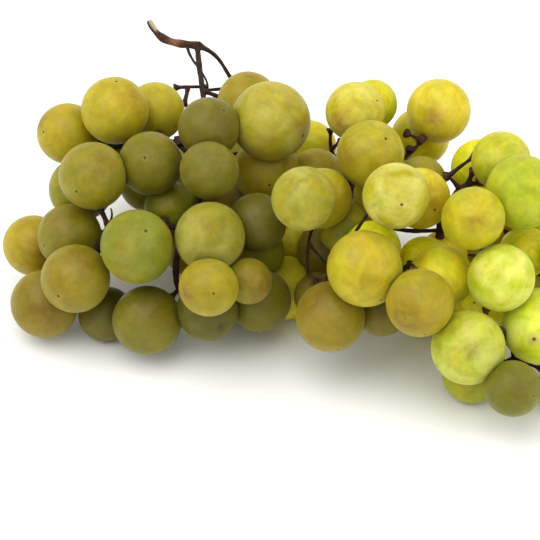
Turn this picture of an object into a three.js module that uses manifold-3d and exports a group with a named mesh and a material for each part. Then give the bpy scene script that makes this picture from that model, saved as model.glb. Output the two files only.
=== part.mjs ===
import * as THREE from 'three';
import { mergeVertices } from 'three/addons/utils/BufferGeometryUtils.js';
import Module from 'manifold-3d';

const wasm = await Module();
wasm.setup();

// A bunch of grapes lying on a surface at z = 0. Millimetres, +Z up.
//
// The bunch is laid out as it shows from the front and above. A place is given as
// [across, up, near]: across and up on the plane through VIEW_CENTRE that faces the eye,
// near as the distance from that plane towards the eye.
const VIEW_TILT = THREE.MathUtils.degToRad(35);
const EYE_DISTANCE = 550;
const VIEW_CENTRE = new THREE.Vector3(0, 0, 20);
const ACROSS = new THREE.Vector3(1, 0, 0);
const UPWARD = new THREE.Vector3(0, Math.sin(VIEW_TILT), Math.cos(VIEW_TILT));
const TOWARD = new THREE.Vector3(0, -Math.cos(VIEW_TILT), Math.sin(VIEW_TILT));

// The two lobes of the bunch, as ellipsoids: centre and half lengths.
const LOBES = [
  { centre: new THREE.Vector3(-37, 30, 24), half: new THREE.Vector3(54, 52, 40) },
  { centre: new THREE.Vector3(58, 12, 26), half: new THREE.Vector3(60, 62, 42) },
];

// Front berries: name, across, up, radius as it shows, layer and, on berries that show
// it, the blossom scar's place on the disc in radii. Layer 0 touches the lobe's surface.
const LAYER_STEP = 8;
const SUNK_PART = 0.9; // how deep a layer-0 berry lies under its lobe's surface, in radii
const FRONT_BERRIES = [
  ['A', -50.9, 52.3, 11, 0, 0.1, 0.8],
  ['B', -66.3, 44.7, 9.9, -1, -0.7, 0],
  ['C', -37.6, 52, 9.7, -1],
  ['D', -58.1, 30.9, 11.1, 1, -0.4, -0.5],
  ['E', -39.2, 35, 10.5, 1, -0.1, 0.1],
  ['F', -20, 46.6, 10.1, -0.5, 0.5, 0.5],
  ['G', -19.9, 32.6, 9.6, 1],
  ['H', -7.2, 54.8, 10.2, 0],
  ['I', 0.2, 48.8, 12.9, 2.5, 0.8, -0.4],
  ['J', -77.5, 8, 10, -2],
  ['K', -65.8, 11.2, 10.5, -1, -0.7, -0.3],
  ['L', -62, 26.6, 10.5, -2],
  ['M', -63.8, -2.8, 11.2, 1, -0.4, -0.5],
  ['N', -73.9, -11.1, 11.1, 0],
  ['O', -43.6, 7.6, 12.3, 2, 0.3, 0.4],
  ['O2', -43.3, 7.5, 10.2, -0.5],
  ['P', -19.7, 10.8, 11.5, 1.5],
  ['Q', -20.1, -5.7, 9.8, 3, 0.2, -0.2],
  ['R', -7.2, -3.6, 7.7, 1, 0.8, -0.4],
  ['S', -40.3, -16.5, 11.3, 1],
  ['T', -53.8, -14.4, 9.1, -2],
  ['U', -20.5, -13.1, 10.2, 0, 0.5, -0.6],
  ['V', -3.4, -9.9, 10.4, 0.5],
  ['W', -4.3, 15.6, 9.8, -2, 0.7, -0],
  ['X', -9.8, 23, 9.2, -3],
  ['Y', -1.3, 32.8, 10.8, -1.5, 0.1, -0.5],
  ['Z', -32.8, 20.7, 8.5, -3],
  ['AA', -40, 28.5, 9.5, -3],
  ['a', 11, 23.4, 10.6, 1.5],
  ['b', 16.9, 23.5, 10, -0.5],
  ['d', 14.9, 30.5, 9.5, -3],
  ['e', 13.1, 40.4, 8.9, -1],
  ['f', 27.9, 52, 9.8, 1.5, 0.7, 0.3],
  ['g', 33.6, 54.3, 8.2, -0.5],
  ['h', 55.3, 52.2, 10.6, 0.5],
  ['i', 50, 44.8, 9.6, -4.5],
  ['j', 32.9, 37.9, 11.2, 0, 0.4, 0.4],
  ['k', 41.3, 24.3, 10.8, 1, 0.1, -0.3],
  ['l', 49.2, 23.5, 10, -1, 0.4, -0.4],
  ['m', 49.5, 29.2, 8.2, -2],
  ['n', 75.8, 35.8, 9.7, 0],
  ['o', 68.9, 33.5, 9.5, -1],
  ['p', 66.6, 16.9, 10.5, 0],
  ['q', 82.7, 25.5, 12.1, 1],
  ['r', 75.8, -2.6, 11.2, 0.5, 0.4, 0.9],
  ['s', 65, -25.4, 12.3, -0.5, -0.9, -0.5],
  ['t', 88.6, -18.4, 12.5, 0.5, -0.3, -0.3],
  ['u', 66.3, -34.1, 9.8, -2],
  ['v', 79.6, -38.9, 9.3, 2.5, 0.6, -0.2],
  ['w', 71.2, -9.8, 8.5, -3, -0.6, -0.1],
  ['x', 31, 0.4, 12.5, 1, 0.4, -0.8],
  ['y', 33.5, 6.9, 9.3, -1.5],
  ['z', 19.8, -15.3, 11.6, 1, 0.2, -0.9],
  ['aa', 49.2, -10.8, 11.3, 0.5, 0.1, -0.9],
  ['bb', 36.7, -12.5, 9.2, -1],
  ['cc', 56.1, -2.3, 10.5, -1.5],
  ['dd', 50.5, 2.6, 8.5, -3],
  ['kk', 56.7, 4.9, 8, -5],
  ['W2', -4.6, 5.9, 9.2, -3],
  ['ee', 15.7, -8.5, 7.9, -2],
  ['ff', 4.9, -5.9, 10.5, -3],
  ['ffb', 7.5, 9.8, 7.9, -4],
  ['gg', 18, 6.6, 9.2, -3],
  ['hh', 24.6, 13.8, 8.9, -2.5],
  ['ii', 83.6, 5.9, 8.5, -2],
  ['jj', 90.2, 8.9, 8.5, -3],
  ['t1', 100, 3.9, 10.5, 0],
  ['t2', 97.4, 30.2, 9.5, -1],
  ['t3', 99.4, -37.4, 10.2, 0],
  ['t4', 105.6, -17.1, 10.5, -1.5],
  ['t5', 109.2, 15.7, 9.5, -1.5],
  ['t6', 107.6, -0.7, 9.2, -3],
  ['t7', 105, 23, 9.2, -3],
];

// Gaps between the front berries that the bunch leaves open: across, up, radius.
const OPEN_GAPS = [
  [-49.9, 22, 4],
  [-52.8, -1, 1.5],
  [-31.8, -6.9, 1.7],
  [-31.2, 41.7, 1.5],
  [22, 42.3, 2.6],
  [44.3, 10.5, 2.6],
  [66.3, 5.6, 1.7],
  [59.7, 27.6, 4.6],
  [42.6, 51.8, 4.6],
  [63, 42.6, 5.2],
  [13.8, 57.4, 7.2],
];
const CLOSED_REACH = 12.5; // a point with berries this near on every side is closed in
const TIP_START = 89; // past this line the tip is round on all sides

// Back berries fill the lobes behind the front berries, a pass at a time.
const BACK_PASSES = 5;
const BACK_TRIES = 2500;
const BACK_RADIUS_MIN = 10.3;
const BACK_RADIUS_MAX = 11.5;
const BACK_FILL = 0.88; // how far out in a lobe the centre of a back berry lies
const BACK_SINK = 5; // how deep a new berry may press before the berries settle
const BACK_SEED = 5;

const PRESS = 1.4; // how far two berries press on each other
const FLAT_DEPTH = 0.4; // how far the lowest berries are flattened
const FACET_SWELL = 1.03; // a faceted berry's corners stand out by this factor
const CLEARANCE = 0.3; // gap between one piece and the next
const MERGED_DISTANCE = 1e-3; // corners this near become one
// How the berries settle.
const RELAX_ROUNDS = 150;
const PASS_ROUNDS = 40;
const AIM_PULL = 0.01;
const LOBE_PULL = 0.004;
const SLIDE_STEP = 0.25;
const SLIDE_LIMIT = 18;
const SLIDE_PRESS = 2.6; // a sliding berry presses on no other by more
const TOUCH_PART = 0.7; // berries touch when they press by this part of PRESS
const STEM_ROOM = 0.6; // room that berries leave round a limb

// Limbs of the stem: radius, places along it and, at its end, an empty pedicel's flare.
const LIMBS = [
  {
    // peduncle, from its cut end to the first fork
    radius: 1.3,
    places: [
      [-39.8, 81.7, -52], [-38.3, 78.4, -52], [-36.6, 76, -51.5], [-34.3, 74.5, -51],
      [-31, 74, -50], [-27.5, 74.1, -48], [-23.8, 73.6, -46],
    ],
  },
  {
    // rachis, over the back and through the middle of the right lobe
    radius: 0.7,
    knot: 1.9,
    places: [
      [-23.8, 73.6, -46], [-20.6, 72.9, -48], [-18.6, 71.7, -50], [-16.9, 69.7, -52],
      [-15.5, 67.8, -54], [-14.5, 65.8, -56], [-13.7, 63.6, -57], [-9.8, 58.4, -60],
      [0, 51, -60], [8, 44, -56], [17, 40, -44], [22, 36, -33], [27, 30, -24], [29, 25, -14],
      [36, 16, -5], [43.3, 13.4, 2], [47.6, 11.6, 5], [52, 12.8, 7], [56.4, 13.8, 8],
      [61.5, 12.5, 12], [68, 8, 14], [75.4, 2.6, 15], [88.5, -1.6, 5], [98, -4, 0],
    ],
  },
  { radius: 1.5, places: [[28.2, 27.4, -15], [29, 24.6, -13], [30.4, 22.4, -11]] },
  { radius: 0.6, places: [[75.4, 2.6, 15], [70, 3.6, 17], [65, 5, 17]] },
  {
    // stalk of the left lobe
    radius: 1,
    places: [
      [-23.8, 73.6, -46], [-23.6, 69.5, -44], [-23.3, 65.5, -41], [-22.5, 61.7, -38],
      [-21.8, 58.5, -35], [-21.3, 52.5, -28], [-23, 44.3, -20], [-25.3, 36.1, -10],
      [-26.2, 26.2, -5], [-24.6, 21.3, 3], [-28.5, 13.8, 5], [-30.5, 6.6, 7],
      [-31.5, -0.7, 8], [-30.2, -6.6, 7],
    ],
  },
  {
    // loose twig beside the stalk
    radius: 0.5,
    places: [[-28.9, 73.6, -48], [-27.4, 70.5, -46], [-25.6, 68.3, -44], [-23.2, 66, -41]],
  },
  {
    // looped twigs and empty pedicels at the foot of the stalk
    radius: 0.4,
    places: [
      [-23, 64.6, -40.5], [-21.2, 63.2, -40], [-20.1, 61.7, -38.5], [-19.6, 60.1, -37],
      [-20.6, 58.4, -35.5],
    ],
  },
  {
    radius: 0.6,
    flare: true,
    places: [[-22.4, 60.2, -36.6], [-25.7, 60, -35], [-27.6, 60.4, -34.5], [-29.2, 59.9, -34]],
  },
  { radius: 0.7, flare: true, places: [[-25.7, 60, -35], [-26.6, 58.2, -34], [-27.7, 56, -33]] },
  {
    radius: 0.6,
    flare: true,
    places: [[-21.8, 58.5, -35], [-19.4, 59.4, -36], [-17.2, 59.2, -37], [-15.9, 59.4, -37.5]],
  },
  {
    radius: 0.8,
    flare: true,
    places: [[-21.8, 58.5, -35], [-17.4, 57.3, -34.5], [-15.1, 56.4, -34], [-12.5, 55.5, -33]],
  },
  {
    // upper lateral of the left lobe
    radius: 1,
    places: [
      [-25.3, 36.1, -10], [-27.3, 39.6, -11], [-29.2, 42.4, -11], [-32.6, 43, -12],
      [-39.4, 42.6, -12], [-49.2, 40.3, -9], [-56.4, 39.4, -10],
    ],
  },
  { radius: 1.6, places: [[-28.2, 41.4, -11], [-30.4, 44, -11]] },
  { radius: 0.6, places: [[-39.4, 42.6, -12], [-44.5, 38, -6], [-48.5, 32.5, -2]] },
  {
    // lower lateral of the left lobe
    radius: 0.8,
    places: [
      [-28.5, 13.8, 5], [-36.1, 12.4, 7], [-44.3, 17.1, 7], [-51.8, 17.7, 8], [-55.4, 12.5, 12],
      [-56.1, 7.5, 11], [-57.1, 2.6, 4], [-61, -4.9, -3],
    ],
  },
  { radius: 0.8, flare: true, places: [[-53.2, 15.6, 10], [-54.2, 17.4, 10], [-55.1, 19, 9]] },
  {
    radius: 0.4,
    places: [[-53.2, 15.6, 10], [-50.9, 17, 10], [-50.8, 18.6, 10], [-52.2, 20.2, 9]],
  },
  {
    // lateral between the lobes
    radius: 0.7,
    places: [[-28.5, 13.8, 5], [-20, 4, 3], [-11, 0, 1], [-2, -3, 1]],
  },
  {
    // lateral down the back of the left lobe
    radius: 0.8,
    places: [[-23, 44.3, -20], [-26.3, 37.2, -35], [-29.5, 28, -47]],
  },
  {
    // empty pedicels over the shoulder
    radius: 0.6,
    flare: true,
    places: [[22, 36, -33], [20.4, 37.4, -27], [19.2, 39.4, -25.5], [19.4, 41.8, -24.5], [19.8, 44, -24]],
  },
  { radius: 0.6, flare: true, places: [[19.3, 40.4, -25], [21.8, 41, -24]] },
  {
    // lateral behind the top of the right lobe
    radius: 0.7,
    places: [[27, 30, -24], [29, 36, -14], [31, 41.5, -5]],
  },
  {
    // upper lateral of the right lobe
    radius: 0.7,
    places: [
      [29, 25, -14], [35.4, 29.5, -6], [41.5, 35.5, 0], [47.5, 38.6, -1], [49, 41.5, -3],
    ],
  },
  { radius: 0.5, flare: true, places: [[47.5, 38.6, -1], [47.8, 39.3, 1.5], [46.3, 39.4, 3.5]] },
  {
    radius: 0.5,
    flare: true,
    places: [[49, 41.5, -3], [49, 43.4, -1], [48, 44, 1.5], [46.2, 44.2, 3]],
  },
  {
    // forked lateral on the right
    radius: 0.9,
    places: [
      [56.4, 13.8, 8], [58.4, 19.5, 12], [58.9, 24.7, 15], [61.3, 28.4, 17], [65.8, 29.3, 18],
      [69.2, 29.7, 18], [71, 30.6, 18],
    ],
  },
  { radius: 0.7, places: [[60.6, 27.6, 17], [59.4, 30.2, 17], [56.8, 30.5, 16]] },
  {
    radius: 0.6,
    flare: true,
    places: [[59.4, 30.2, 17], [61, 33, 17], [63.4, 34.9, 17], [65.8, 36, 18]],
  },
  { radius: 0.7, flare: true, places: [[65.8, 29.3, 18], [66.3, 31, 19]] },
  { radius: 0.6, flare: true, places: [[54.2, 13, 7.5], [55.4, 14.6, 8.5]] },
  {
    // lateral to the front of the right lobe
    radius: 0.6,
    places: [[29, 25, -14], [21.3, 21.3, -2], [15.7, 15.7, 6]],
  },
  {
    radius: 0.49,
    places: [[15.7, 15.7, 6], [12.5, 11.8, 12], [12.6, 9.5, 13], [12, 5.1, 13], [12.1, -1.2, 12]],
  },
  { radius: 0.49, places: [[12.6, 9.5, 13], [15, 6.2, 13], [18, 1.5, 14], [21.5, 0, 19]] },
  { radius: 0.5, places: [[21.5, 0, 19], [25, 3, 26]] },
  { radius: 0.6, places: [[15.7, 15.7, 6], [10, 15, 9], [6.5, 17.5, 20]] },
  { radius: 0.5, places: [[11.4, -1.3, 12], [15.7, -0.8, 13], [15.6, -3.6, 13]] },
  {
    // lateral to the bottom of the right lobe
    radius: 0.8,
    places: [
      [36, 16, -5], [36.5, 10, 0], [37, 4, 8], [40, -2, 20],
    ],
  },
  { radius: 0.6, flare: true, places: [[40, -2, 20], [43.4, -0.4, 26], [45.6, 0.6, 28]] },
  {
    // lateral to the back of the tip
    radius: 0.8,
    places: [[75.4, 2.6, 15], [78, 11.1, -2], [77.7, 14.7, -16], [75.7, 20.6, -31]],
  },
  {
    // lateral to the front of the tip
    radius: 0.8,
    places: [[75.4, 2.6, 15], [79.4, -9.8, 18], [79.7, -19.7, 20], [79.7, -28.9, 22]],
  },
];
const HIGHEST_PEDICEL = 56; // no berry hangs above this height on the limbs
const BEARING_RADIUS = 0.5; // a thinner limb bears no berries, and an empty pedicel none either
const TWIG_SPACING = 4; // between the points that a limb is bent at
const TUBE_STEP = 12; // between the rings of a limb
const PEDICEL_ROOT_RADIUS = 0.7;
const PEDICEL_FLARE_RADIUS = 1.7;
const PEDICEL_SIDES = 3;
const LONG_PEDICEL = 9;
const FORK_PARTS = [0.35, 0.6]; // where along a long pedicel others may start
const LIMB_SIDES = 4;
const FLARE_LENGTH = 2.4;
const STEM_NEARBY = 8; // a limb or pedicel this near may run into a berry
const BEND_ROUNDS = 12;
const BEND_SMOOTHING = 0.15;
const ROOTS_TRIED = 16;
const BLOCK_COST = 4;
const STEM_END_TILT = THREE.MathUtils.degToRad(60); // most that a berry leans from its pedicel

// The laterals that the berries belong to, each by the berry that hangs nearest to it.
const SPRAYS = {
  berries_wing_tip: 'K',
  berries_wing_back: 'C',
  berries_wing_front: 'U',
  berries_shoulder: 'a',
  berries_middle: 'd',
  berries_body_back: 'k',
  berries_body_front: 'x',
  berries_body_low: 'cc',
  berries_tip_top: 'n',
  berries_tip_front: 't',
  berries_tip_end: 't5',
};

const STEM_COLOUR = '#5a2e18';
const OLIVE_SKIN = '#a8a030';
const LIME_SKIN = '#c8cc30';

// Place in space of [across, up, near].
function place(across, up, near) {
  const shrink = 1 - near / EYE_DISTANCE;
  return VIEW_CENTRE.clone()
    .addScaledVector(ACROSS, across * shrink)
    .addScaledVector(UPWARD, up * shrink)
    .addScaledVector(TOWARD, near);
}

// [across, up, near] of a place in space.
function view(point) {
  const offset = point.clone().sub(VIEW_CENTRE);
  const near = offset.dot(TOWARD);
  const shrink = 1 - near / EYE_DISTANCE;
  return [offset.dot(ACROSS) / shrink, offset.dot(UPWARD) / shrink, near];
}

// How far towards the eye the lobes' surface lies on a sight line.
function surfaceNear(across, up) {
  const eye = place(0, 0, EYE_DISTANCE);
  const sight = place(across, up, 0).sub(eye).normalize();
  let hit = -Infinity;
  let miss = -Infinity;
  for (const lobe of LOBES) {
    const start = eye.clone().sub(lobe.centre).divide(lobe.half);
    const step = sight.clone().divide(lobe.half);
    const square = step.dot(step);
    const half = start.dot(step);
    const root = half * half - square * (start.dot(start) - 1);
    const distance = (-half - Math.sqrt(Math.max(root, 0))) / square;
    const near = eye.clone().addScaledVector(sight, distance).sub(VIEW_CENTRE).dot(TOWARD);
    if (root >= 0) hit = Math.max(hit, near);
    else miss = Math.max(miss, near);
  }
  return hit > -Infinity ? hit : miss;
}

// Repeatable draws between 0 and 1.
function drawsFrom(seed) {
  let state = seed;
  return () => {
    state = (state * 16807) % 2147483647;
    return state / 2147483647;
  };
}

// Puts a front berry on its sight line, no lower than the surface under the bunch allows.
function setNear(berry, near) {
  const shrink = 1 - near / EYE_DISTANCE;
  const height = berry.disc * shrink - FLAT_DEPTH;
  const lowest = (height - VIEW_CENTRE.z - berry.up * shrink * UPWARD.z) / TOWARD.z;
  berry.near = Math.max(near, lowest);
  berry.radius = berry.disc * (1 - berry.near / EYE_DISTANCE);
  berry.centre = place(berry.across, berry.up, berry.near);
}

function frontBerry([name, across, up, disc, layer, scarAcross, scarUp]) {
  const aim = surfaceNear(across, up) - SUNK_PART * disc + layer * LAYER_STEP;
  const scar = scarUp === undefined ? null : [scarAcross, scarUp];
  const berry = { name, front: true, across, up, disc, aim, scar };
  setNear(berry, aim);
  return berry;
}

function lobePart(point, lobe) {
  return point.clone().sub(lobe.centre).divide(lobe.half).length();
}

function nearestLobe(point) {
  const [left, right] = LOBES;
  return lobePart(point, left) < lobePart(point, right) ? left : right;
}

function gap(one, other) {
  return one.centre.distanceTo(other.centre) - one.radius - other.radius;
}

// Adds berries at random places in the lobes where there is room behind the front ones.
function fillBack(front, back, draw) {
  for (let count = 0; count < BACK_TRIES; count += 1) {
    const lobe = LOBES[Math.floor(draw() * LOBES.length)];
    const radius = BACK_RADIUS_MIN + (BACK_RADIUS_MAX - BACK_RADIUS_MIN) * draw();
    const part = new THREE.Vector3(2 * draw() - 1, 2 * draw() - 1, 2 * draw() - 1);
    const centre = part.multiply(lobe.half).add(lobe.centre);
    centre.z = Math.max(centre.z, radius - FLAT_DEPTH);
    const berry = { front: false, centre, radius, scar: null };
    if (lobePart(centre, lobe) > BACK_FILL) continue;
    if ([...front, ...back].some((other) => gap(berry, other) < -BACK_SINK)) continue;
    if (isHidden(berry, front)) back.push(berry);
  }
}

function flatDistance(x, y) {
  return Math.sqrt(x * x + y * y);
}

function isCovered(across, up, front) {
  return front.some((berry) => flatDistance(across - berry.across, up - berry.up) < berry.disc);
}

// True where a sight line meets front berries, or passes between them with others all round.
function isClosedIn(across, up, front) {
  if (OPEN_GAPS.some(([x, y, radius]) => flatDistance(across - x, up - y) < radius)) return false;
  if (isCovered(across, up, front)) return true;
  for (let side = 0; side < 8; side += 1) {
    const angle = side * Math.PI / 4;
    const meets = front.some((berry) => {
      const x = berry.across - across;
      const y = berry.up - up;
      const along = x * Math.cos(angle) + y * Math.sin(angle);
      const beside = x * x + y * y - along * along;
      const chord = berry.disc * berry.disc - beside;
      return along > 0 && chord > 0 && along - Math.sqrt(chord) < CLOSED_REACH;
    });
    if (!meets) return false;
  }
  return true;
}

// True for a berry that lies behind the front berries and inside their outline.
function isHidden(berry, front) {
  const [across, up, near] = view(berry.centre);
  const disc = berry.radius / (1 - near / EYE_DISTANCE);
  for (const other of front) {
    const beside = flatDistance(across - other.across, up - other.up);
    if (beside < disc + other.disc - PRESS && near > other.near) return false;
  }
  for (let side = 0; side < 16; side += 1) {
    const angle = side * Math.PI / 8;
    for (const part of [0.5, 0.97]) {
      const x = across + disc * part * Math.cos(angle);
      const y = up + disc * part * Math.sin(angle);
      if (x < TIP_START && !isClosedIn(x, y, front)) return false;
    }
  }
  return true;
}

// Presses two berries apart: front berries along their sight lines, back berries anywhere.
function pressApart(one, other) {
  const between = one.centre.clone().sub(other.centre);
  const distance = between.length();
  const wanted = one.radius + other.radius - PRESS;
  if (distance >= wanted) return;
  if (one.front && other.front) {
    const depth = one.near - other.near;
    const beside = Math.max(distance * distance - depth * depth, 0);
    const order = one.aim > other.aim ? 1 : -1;
    const lack = Math.sqrt(Math.max(wanted * wanted - beside, 0)) - order * depth;
    if (lack <= 0) return;
    one.near += order * lack / 4;
    other.near -= order * lack / 4;
    return;
  }
  between.multiplyScalar((wanted - distance) / distance);
  if (one.front) {
    one.near += between.dot(TOWARD) * 0.1;
    other.centre.addScaledVector(between, -0.8);
  } else {
    one.centre.addScaledVector(between, 0.5);
    other.centre.addScaledVector(between, -0.5);
  }
}

// Lets the berries find their places: front berries first in the list, then back ones.
function relax(berries, stemPoints, rounds) {
  for (let round = 0; round < rounds; round += 1) {
    for (const berry of berries) {
      if (berry.front) {
        setNear(berry, berry.near + (berry.aim - berry.near) * AIM_PULL);
      } else {
        const pull = nearestLobe(berry.centre).centre.clone().sub(berry.centre);
        berry.centre.addScaledVector(pull, LOBE_PULL);
        for (const point of stemPoints) {
          const away = berry.centre.clone().sub(point);
          const room = berry.radius + STEM_ROOM + 1;
          const distance = away.length();
          if (distance < room) berry.centre.addScaledVector(away, (room - distance) / distance / 2);
        }
        berry.centre.z = Math.max(berry.centre.z, berry.radius - FLAT_DEPTH);
      }
    }
    for (let i = 0; i < berries.length; i += 1) {
      for (let j = i + 1; j < berries.length; j += 1) pressApart(berries[i], berries[j]);
    }
  }
  for (const berry of berries.filter((one) => one.front)) setNear(berry, berry.near);
}

function touches(one, other) {
  return one !== other && gap(one, other) < -PRESS * TOUCH_PART;
}

// Moves a loose front berry along its sight line by the least that makes it touch.
function slideToTouch(berry, others, berries) {
  const start = berry.near;
  for (let slide = SLIDE_STEP; slide < SLIDE_LIMIT; slide += SLIDE_STEP) {
    for (const side of [-1, 1]) {
      setNear(berry, start + side * slide);
      const fits = berries.every((other) => other === berry || gap(berry, other) > -SLIDE_PRESS);
      if (fits && others.some((other) => touches(berry, other))) return true;
    }
  }
  setNear(berry, start);
  return false;
}

// Moves a loose berry straight to its nearest neighbour.
function moveToTouch(berry, others) {
  const closer = (best, other) => (gap(berry, other) < gap(berry, best) ? other : best);
  const nearest = others.reduce(closer);
  const move = nearest.centre.clone().sub(berry.centre).normalize();
  berry.centre.addScaledVector(move, gap(berry, nearest) + PRESS);
}

// Makes one of the loose berries touch the gathered ones: the closest that can.
function joinOne(loose, gathered) {
  const distance = (berry) => Math.min(...gathered.map((other) => gap(berry, other)));
  loose.sort((one, other) => distance(one) - distance(other));
  for (const berry of loose) {
    if (!berry.front) {
      moveToTouch(berry, gathered);
      return;
    }
    if (slideToTouch(berry, gathered, [...loose, ...gathered])) return;
  }
  moveToTouch(loose[0], gathered);
}

// Gathers the berries round the first berry of each spray, always adding one that touches
// a gathered berry and lies closest to that spray's first berry.
function gatherSprays(berries) {
  for (const [spray, first] of Object.entries(SPRAYS)) {
    const berry = berries.find((other) => other.name === first);
    Object.assign(berry, { spray, first: berry });
  }
  for (;;) {
    const loose = berries.filter((berry) => !berry.spray);
    if (loose.length === 0) return;
    const gathered = berries.filter((berry) => berry.spray);
    let best = null;
    for (const berry of loose) {
      for (const other of gathered) {
        if (!touches(berry, other)) continue;
        const reach = berry.centre.distanceTo(other.first.centre);
        if (!best || reach < best.reach) best = { berry, other, reach };
      }
    }
    if (best) Object.assign(best.berry, { spray: best.other.spray, first: best.other.first });
    else joinOne(loose, gathered);
  }
}

// All berries in their places.
function layBerries(stemPoints) {
  const front = FRONT_BERRIES.map(frontBerry);
  relax(front, stemPoints, RELAX_ROUNDS);
  const draw = drawsFrom(BACK_SEED);
  let back = [];
  for (let pass = 0; pass < BACK_PASSES; pass += 1) {
    fillBack(front, back, draw);
    relax([...front, ...back], stemPoints, PASS_ROUNDS);
    back = back.filter((berry) => isHidden(berry, front));
  }
  const berries = [...front, ...back];
  gatherSprays(berries);
  return berries;
}

// Points along a limb, about TWIG_SPACING apart.
function limbPoints(limb) {
  const places = limb.places.map((at) => place(...at));
  const points = [places[0]];
  for (let i = 1; i < places.length; i += 1) {
    const parts = Math.max(1, Math.round(places[i - 1].distanceTo(places[i]) / TWIG_SPACING));
    for (let part = 1; part <= parts; part += 1) {
      points.push(places[i - 1].clone().lerp(places[i], part / parts));
    }
  }
  return points;
}

// Bends a limb clear of the berries, and starts it on a limb laid before it.
function bendClear(points, radius, berries, laid) {
  for (let round = 0; round < BEND_ROUNDS; round += 1) {
    for (const point of points) {
      for (const berry of berries) {
        const away = point.clone().sub(berry.centre);
        const room = berry.radius * FACET_SWELL + radius + CLEARANCE;
        const distance = away.length();
        if (distance < room) point.addScaledVector(away, (room - distance) / distance / 2);
      }
    }
    for (let i = 1; i < points.length - 1; i += 1) {
      const middle = points[i - 1].clone().add(points[i + 1]).divideScalar(2);
      points[i].lerp(middle, BEND_SMOOTHING);
    }
    if (laid.length > 0) points[0].copy(nearestPoint(points[0], laid));
  }
}

function nearestPoint(point, points) {
  const closer = (best, other) => (point.distanceTo(other) < point.distanceTo(best) ? other : best);
  return points.reduce(closer);
}

function layLimbs(berries) {
  const laid = [];
  return LIMBS.map((limb) => {
    const points = limbPoints(limb);
    bendClear(points, limb.radius, berries, laid);
    laid.push(...points.map((point) => point.clone()));
    return { ...limb, points };
  });
}

// Direction from a berry's centre to its stem end, given the root that its pedicel starts at.
function stemEndDirection(berry, root) {
  const toRoot = root.clone().sub(berry.centre).normalize();
  if (!berry.scar) return toRoot;
  const [across, up] = berry.scar;
  const depth = Math.sqrt(Math.max(0.05, 1 - across * across - up * up));
  const stemEnd = new THREE.Vector3()
    .addScaledVector(ACROSS, -across)
    .addScaledVector(UPWARD, -up)
    .addScaledVector(TOWARD, -depth)
    .normalize();
  const angle = stemEnd.angleTo(toRoot);
  if (angle <= STEM_END_TILT) return stemEnd;
  const turn = new THREE.Vector3().crossVectors(toRoot, stemEnd).normalize();
  return toRoot.applyAxisAngle(turn, STEM_END_TILT);
}

function distanceToLine(point, start, end) {
  const line = new THREE.Line3(start, end);
  return line.closestPointToPoint(point, true, new THREE.Vector3()).distanceTo(point);
}

// How deep a line from a root to a berry runs into the other berries.
function blockedDepth(berry, root, end, berries) {
  let depth = 0;
  for (const other of berries) {
    if (other === berry) continue;
    const room = other.radius * FACET_SWELL + PEDICEL_ROOT_RADIUS + CLEARANCE;
    depth += Math.max(0, room - distanceToLine(other.centre, root, end));
  }
  return depth;
}

// The pedicel to a berry: of the nearest roots, from the one that lets it run clearest.
function pedicelOf(berry, roots, berries) {
  const near = [...roots];
  near.sort((one, other) => one.distanceTo(berry.centre) - other.distanceTo(berry.centre));
  let best = null;
  for (const root of near.slice(0, ROOTS_TRIED)) {
    const direction = stemEndDirection(berry, root);
    const lean = direction.angleTo(root.clone().sub(berry.centre));
    const height = berry.radius * FACET_SWELL + CLEARANCE + PEDICEL_FLARE_RADIUS * Math.sin(lean);
    const end = berry.centre.clone().addScaledVector(direction, height);
    const blocked = blockedDepth(berry, root, end, berries);
    const cost = root.distanceTo(end) + BLOCK_COST * blocked;
    if (!best || cost < best.cost) best = { berry, root, end, cost };
  }
  return best;
}

// A pedicel for every berry, the nearest first. A long one carries others in its turn.
function layPedicels(berries, limbs) {
  const bearing = limbs.filter((limb) => !limb.flare && limb.radius >= BEARING_RADIUS);
  const points = bearing.flatMap((limb) => limb.points);
  const roots = points.filter((point) => view(point)[1] < HIGHEST_PEDICEL);
  const waiting = [...berries];
  const pedicels = [];
  while (waiting.length > 0) {
    const distance = (berry) => berry.centre.distanceTo(nearestPoint(berry.centre, roots));
    waiting.sort((one, other) => distance(one) - distance(other));
    const pedicel = pedicelOf(waiting.shift(), roots, berries);
    const { root, end } = pedicel;
    pedicels.push(pedicel);
    if (root.distanceTo(end) > LONG_PEDICEL) {
      for (const part of FORK_PARTS) roots.push(root.clone().lerp(end, part));
    }
  }
  return pedicels;
}

// A closed geometry as a solid, with its faces turned out.
function solidOf(geometry, matrix) {
  const bare = geometry.clone();
  bare.deleteAttribute('normal');
  bare.deleteAttribute('uv');
  const merged = mergeVertices(bare, MERGED_DISTANCE);
  merged.applyMatrix4(matrix);
  const vertProperties = new Float32Array(merged.attributes.position.array);
  const triVerts = new Uint32Array(merged.index.array);
  const solid = new wasm.Manifold(new wasm.Mesh({ numProp: 3, vertProperties, triVerts }));
  if (solid.volume() > 0) return solid;
  for (let i = 0; i < triVerts.length; i += 3) {
    [triVerts[i], triVerts[i + 1]] = [triVerts[i + 1], triVerts[i]];
  }
  return new wasm.Manifold(new wasm.Mesh({ numProp: 3, vertProperties, triVerts }));
}

function joined(solids) {
  return solids.reduce((all, solid) => all.add(solid));
}

function geometryOf(solid) {
  const { vertProperties, triVerts } = solid.getMesh();
  const geometry = new THREE.BufferGeometry();
  geometry.setAttribute('position', new THREE.BufferAttribute(vertProperties, 3));
  geometry.setIndex(new THREE.BufferAttribute(triVerts, 1));
  return geometry;
}

// The largest body of a solid, once corners that all but meet are merged: loose scraps are
// dropped and sealed hollows filled.
function oneBody(solid) {
  const bodies = solidOf(geometryOf(solid), new THREE.Matrix4()).decompose();
  return bodies.reduce((best, body) => (body.volume() > best.volume() ? body : best));
}

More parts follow.
